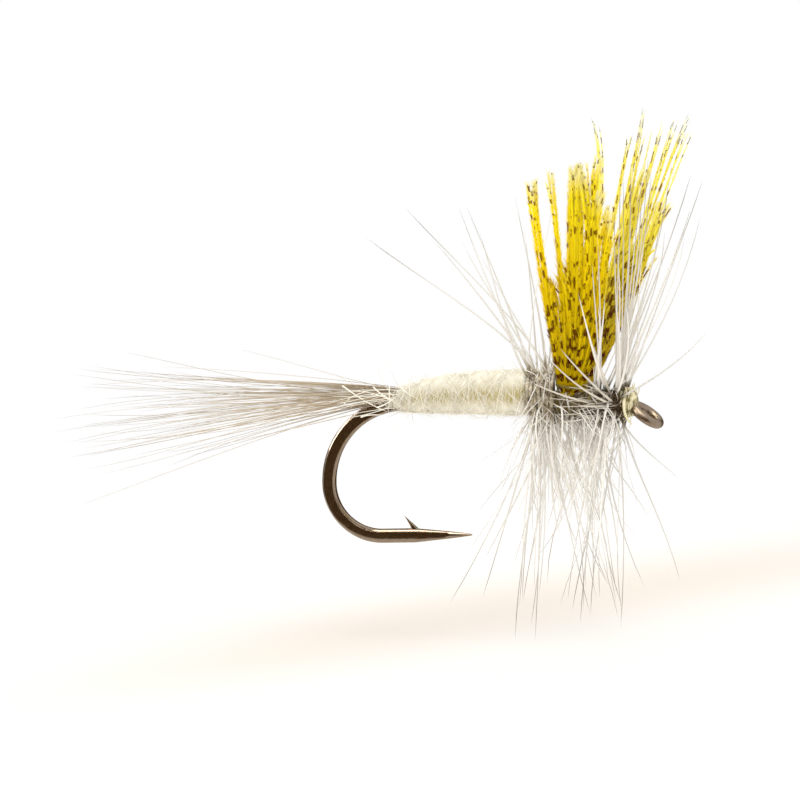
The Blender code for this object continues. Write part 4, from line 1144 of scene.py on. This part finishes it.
def make_head():
    """The tied head: a turned core under nine turns of thread and three of the finishing knot."""
    route = []
    for step in range(HEAD_STEPS + 1):
        share = step / HEAD_STEPS
        route.append(on_turn(HEAD_REAR + HEAD_LENGTH * (0.06 + 0.88 * share), FULL_TURN * HEAD_TURNS * share,
                             head_radius(share) - HEAD_THREAD / 2, head_middle(share)))
    pieces = [wind("head_thread", route, HEAD_THREAD)]
    for number in range(KNOT_TURNS):
        route = []
        for step in range(KNOT_STEPS + 1):
            angle = FULL_TURN * step / KNOT_STEPS + number * 2.1
            share = 0.5 + 0.28 * math.sin(angle + number)
            route.append(on_turn(HEAD_REAR + HEAD_LENGTH * share, angle,
                                 head_radius(share) - HEAD_THREAD * 0.2, head_middle(share)))
        pieces.append(wind("head_knot", route, HEAD_THREAD))
    core = add_primitive("cylinder", vertices=32, radius=1.0, depth=1.0, rotation=(0, math.pi / 2, 0))
    bpy.ops.object.mode_set(mode="EDIT")
    bpy.ops.mesh.select_all(action="SELECT")
    bpy.ops.mesh.bevel(offset=0.2, segments=4)
    bpy.ops.object.mode_set(mode="OBJECT")
    for point in core.data.vertices:
        share = min(max(point.co.x + 0.5, 0.0), 1.0)
        reach = head_radius(share) - HEAD_THREAD * 0.7
        point.co = Vector((HEAD_REAR + HEAD_LENGTH * (0.03 + 0.94 * share), point.co.y * reach,
                           head_middle(share) + point.co.z * reach))
    bpy.ops.object.shade_smooth_by_angle(angle=math.radians(40))
    select_only(core, *pieces)
    bpy.ops.object.join()
    core.name = core.data.name = "head_thread"
    return core


def head_wisps():
    """The thread's cut end, and trimmed ends of feather and thread that stand out of the head."""
    rng = random.Random(HEAD_SEED)
    tag = bezier([Vector(spot) * MM for spot in HEAD_TAG])
    strands = [Strand(tag, WISP_BROAD, taper(0.16 * MM, 0.08 * MM), 0.5, 1.0)]
    for _ in range(HEAD_WISPS):
        radial = round_shank(rng.uniform(0, FULL_TURN))
        x = rng.uniform(HEAD_REAR + 0.60 * MM, HEAD_FRONT + 0.2 * MM)
        start = np.array((x, 0.0, SHANK_HEIGHT)) + radial * 0.4 * MM
        way = radial + np.array((rng.gauss(0.1, 0.35), rng.gauss(0, 0.4), rng.gauss(0, 0.4)))
        way *= rng.uniform(0.2, 0.62) * MM
        bend = np.array((rng.gauss(0, 1), rng.gauss(0, 1), rng.gauss(0, 1))) * 0.07 * MM
        width = taper(rng.uniform(0.05, 0.11) * MM, 0.03 * MM)
        strands.append(Strand(bowed(start, way, bend, 0.4, 0.8), WISP_BROAD, width, 0.6, rng.random()))
    return lay_strands("head_wisps", model_strand(5, 6), strands)


class FLY_OT_threads(bpy.types.Operator):
    """Ties the head and gives the lashings their thread"""

    bl_idname = "fly.threads"
    bl_label = "Threads"

    def execute(self, context):
        colours = context.scene.fly_colours
        thread = waxed_thread("waxed_tying_thread", colours.thread_deep, colours.thread)
        hand_over(make_head(), thread, "waxed_thread", "thread_head", "whip_finish")
        wisp = feather_fibre("trimmed_olive_fibre", colours.thread_deep, colours.thread, colours.thread, 0.5)
        hand_over(head_wisps(), wisp, "waxed_thread", "thread_head")
        # The lashings take darker thread colours: painted shade between the hackles.
        lashing_in_shade = waxed_thread("waxed_wing_lashing_in_shade", colours.lashing_deep_in_shade, colours.lashing_in_shade)
        for name, material in (("thread_base", thread), ("wing_dam", lashing_in_shade), ("near_wing_wraps", lashing_in_shade),
                               ("far_wing_wraps", lashing_in_shade)):
            node_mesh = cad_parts[name].data
            node_mesh.materials.clear()
            node_mesh.materials.append(material)
        return {"FINISHED"}


# The picture's size and where the hook's eye is in it, in pixels, and the real size of a pixel there.
PICTURE = 800
EYE_AT = (647, 415)
PIXEL = 0.0412 * MM
CAMERA_TURN = math.radians(15)
CAMERA_RISE = math.radians(10)
CAMERA_AWAY = 0.30
WHITE = "#FFFFFF"
ROOM_LIGHT = 0.98
# The table: its size and middle, and how far out it takes the shadow and is lost in the white.
TABLE_SIZE = (6, 6)
TABLE_MIDDLE = -12 * MM
TABLE_NEAR, TABLE_FAR = 14 * MM, 45 * MM
# Its painted shadow, a warm band: the way across it, how far along that way its middle lies, its half width
# and its start.
PAINTED_SHADOW_ACROSS = (-0.71, 0.70, 0.0)
PAINTED_SHADOW_AT = 2.0 * MM
PAINTED_SHADOW_HALF = 9 * MM
PAINTED_SHADOW_START, PAINTED_SHADOW_FULL = -18 * MM, 2 * MM
CARD_SIZE = (0.046, 0.015)
LAMP_AT = Vector((0.05, -0.17, 0.48))


def set_camera(scene):
    """The photograph's camera: a long lens, turned so that the shank runs level across the picture."""
    level = Vector((math.cos(CAMERA_TURN), math.sin(CAMERA_TURN), 0))
    flat = math.cos(CAMERA_RISE)
    back = Vector((math.sin(CAMERA_TURN) * flat, -math.cos(CAMERA_TURN) * flat, math.sin(CAMERA_RISE)))
    upright = back.cross(level)
    roll = math.atan2(-upright.x, level.x)
    up = upright * math.cos(roll) + level * math.sin(roll)
    right = level * math.cos(roll) - upright * math.sin(roll)
    half = PICTURE / 2
    target = right * (half - EYE_AT[0]) * PIXEL + up * (EYE_AT[1] - half) * PIXEL
    data = bpy.data.cameras.new("camera")
    data.lens = data.sensor_width * CAMERA_AWAY / (PICTURE * PIXEL)
    data.clip_start, data.clip_end = 0.01, 20
    camera = link_new("camera", data)
    turned = Matrix((right, up, back)).transposed().to_4x4()
    camera.matrix_world = Matrix.Translation(target + back * CAMERA_AWAY) @ turned
    scene.camera = camera


def seen_rays(tree):
    """A mask for what is seen by the camera, mirrored in gloss or looked at through glass."""
    ray = node(tree, "LightPath").outputs
    seen = node(tree, "Math", (ray["Is Camera Ray"], ray["Is Glossy Ray"]), operation="MAXIMUM")
    return node(tree, "Math", (seen, ray["Is Transmission Ray"]), operation="MAXIMUM")


def set_world(scene):
    """A white room: full white where it is seen or mirrored, and a plain soft level of light on the fly."""
    world = bpy.data.worlds.new("white_room")
    world.use_nodes = True
    tree = world.node_tree
    tree.nodes.clear()
    soft = node(tree, "Background", (WHITE, ROOM_LIGHT))
    white = node(tree, "Background", (WHITE, 1.0))
    both = node(tree, "MixShader", (seen_rays(tree), soft, white))
    node(tree, "OutputWorld", (both,))
    scene.world = world


def white_table():
    """Matt white board with a faint warm band of painted shadow: it also takes the fly's real shadow and is
    lost in white further out.
    """
    material, tree, shader = new_material("white_table")
    where = node(tree, "TexCoord").outputs["Object"]
    # The warm band is painted shadow: a slanting strip across the table near the fly, growing towards the
    # fly's front.
    across = node(tree, "VectorMath", (where, PAINTED_SHADOW_ACROSS), operation="DOT_PRODUCT")
    off = node(tree, "Math", (across, PAINTED_SHADOW_AT), operation="SUBTRACT")
    off = node(tree, "Math", (off,), operation="ABSOLUTE")
    band = node(tree, "MapRange", (off, 0.0, PAINTED_SHADOW_HALF, 1.0, 0.0), **SMOOTH)
    along = node(tree, "SeparateXYZ", (where,))
    start = node(tree, "MapRange", (along, PAINTED_SHADOW_START, PAINTED_SHADOW_FULL), **SMOOTH)
    band = node(tree, "Math", (band, start), operation="MULTIPLY")
    painted_shadow_tone = node(tree, "Mix", (band, "#FEFBF6", "#F1E6D8"), **RGBA)
    plug(shader, {"Base Color": painted_shadow_tone, "Roughness": 0.9, "Specular IOR Level": 0.0})
    away = node(tree, "VectorMath", (where,), operation="LENGTH")
    far = node(tree, "MapRange", (away, TABLE_NEAR, TABLE_FAR, 0.25, 1.0), **SMOOTH)
    fade = node(tree, "Math", (seen_rays(tree), far), operation="MULTIPLY")
    white = node(tree, "Emission", (WHITE, 1.0))
    both = node(tree, "MixShader", (fade, shader, white))
    plug(tree.nodes["Material Output"], {"Surface": both})
    return material


def set_plane(name, material, size, place, turn=(0, 0, 0), mirrored_only=False):
    """Lays out a flat piece of the stage, which may be left to be seen in polished metal alone."""
    deselect()
    bpy.ops.mesh.primitive_plane_add(size=1)
    plane = bpy.context.active_object
    plane.name = plane.data.name = name
    plane.scale = (*size, 1)
    bpy.ops.object.transform_apply(location=False, rotation=False, scale=True)
    plane.location = place
    plane.rotation_euler = turn
    if mirrored_only:
        plane.visible_camera = plane.visible_diffuse = False
        plane.visible_shadow = plane.visible_transmission = False
    plane.data.materials.append(material)
    plane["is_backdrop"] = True


def set_cards():
    """Dark cards beside the fly and bright strips above, out of sight: only polished metal mirrors them."""
    grey, _, shader = new_material("grey_card")
    plug(shader, {"Base Color": "#6C5A42", "Roughness": 1.0, "Specular IOR Level": 0.0})
    bright, _, shader = new_material("bright_strip")
    plug(shader, {"Base Color": "#000000", "Emission Color": "#FFFDF8", "Emission Strength": 8.0})
    upright = (math.pi / 2, 0, 0)
    for side, name in ((-1, "near_card"), (1, "far_card")):
        set_plane(name, grey, CARD_SIZE, (TABLE_MIDDLE, side * 0.0125, -0.0025), upright, mirrored_only=True)
    for name, size, place in (("left_strip", (0.30, 0.19), (-0.18, 0.025, 0.105)),
                              ("top_strip", (0.20, 0.14), (-0.055, -0.035, 0.20))):
        facing_fly = Vector(place).to_track_quat("Z", "Y").to_euler()
        set_plane(name, bright, size, place, facing_fly, mirrored_only=True)


def set_lamp():
    """One wide softbox above and a little in front of the fly."""
    data = bpy.data.lights.new("softbox", "AREA")
    data.shape = "DISK"
    data.size = 0.42
    data.energy = 0.6
    data.color = linear("#FFFAF2")[:3]
    turned = LAMP_AT.to_track_quat("Z", "Y").to_matrix().to_4x4()
    link_new("softbox", data).matrix_world = Matrix.Translation(LAMP_AT) @ turned


class FLY_OT_stage(bpy.types.Operator):
    """Sets the table, light and camera"""

    bl_idname = "fly.stage"
    bl_label = "Stage"

    def execute(self, context):
        scene = context.scene
        scene.view_settings.view_transform = "Standard"
        set_plane("table", white_table(), TABLE_SIZE, (TABLE_MIDDLE, 0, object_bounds()[0].z))
        set_cards()
        set_world(scene)
        set_lamp()
        set_camera(scene)
        return {"FINISHED"}


class FLY_PT_panel(bpy.types.Panel):
    """Lists the steps of tying the fly"""

    bl_idname = "FLY_PT_panel"
    bl_label = "Dry fly"
    bl_space_type = "VIEW_3D"
    bl_region_type = "UI"
    bl_category = "Dry fly"

    def draw(self, context):
        for group in (context.scene.fly_sizes, context.scene.fly_colours):
            for name in group.__annotations__:
                self.layout.prop(group, name)
        for step in STEPS:
            self.layout.operator(step.bl_idname)


STEPS = (FLY_OT_hook, FLY_OT_tail, FLY_OT_body, FLY_OT_wings, FLY_OT_hackles, FLY_OT_threads, FLY_OT_stage)
CLASSES = (FlySizes, FlyColours, *STEPS, FLY_PT_panel)


def register():
    """Adds the settings, steps and panel."""
    for cls in CLASSES:
        bpy.utils.register_class(cls)
    bpy.types.Scene.fly_sizes = bpy.props.PointerProperty(type=FlySizes)
    bpy.types.Scene.fly_colours = bpy.props.PointerProperty(type=FlyColours)


def unregister():
    """Takes the settings, steps and panel away again."""
    del bpy.types.Scene.fly_sizes
    del bpy.types.Scene.fly_colours
    for cls in reversed(CLASSES):
        bpy.utils.unregister_class(cls)


def main():
    """Ties the fly step by step."""
    register()
    for step in STEPS:
        group, name = step.bl_idname.split(".")
        getattr(getattr(bpy.ops, group), name)()


if __name__ == "__main__":
    main()
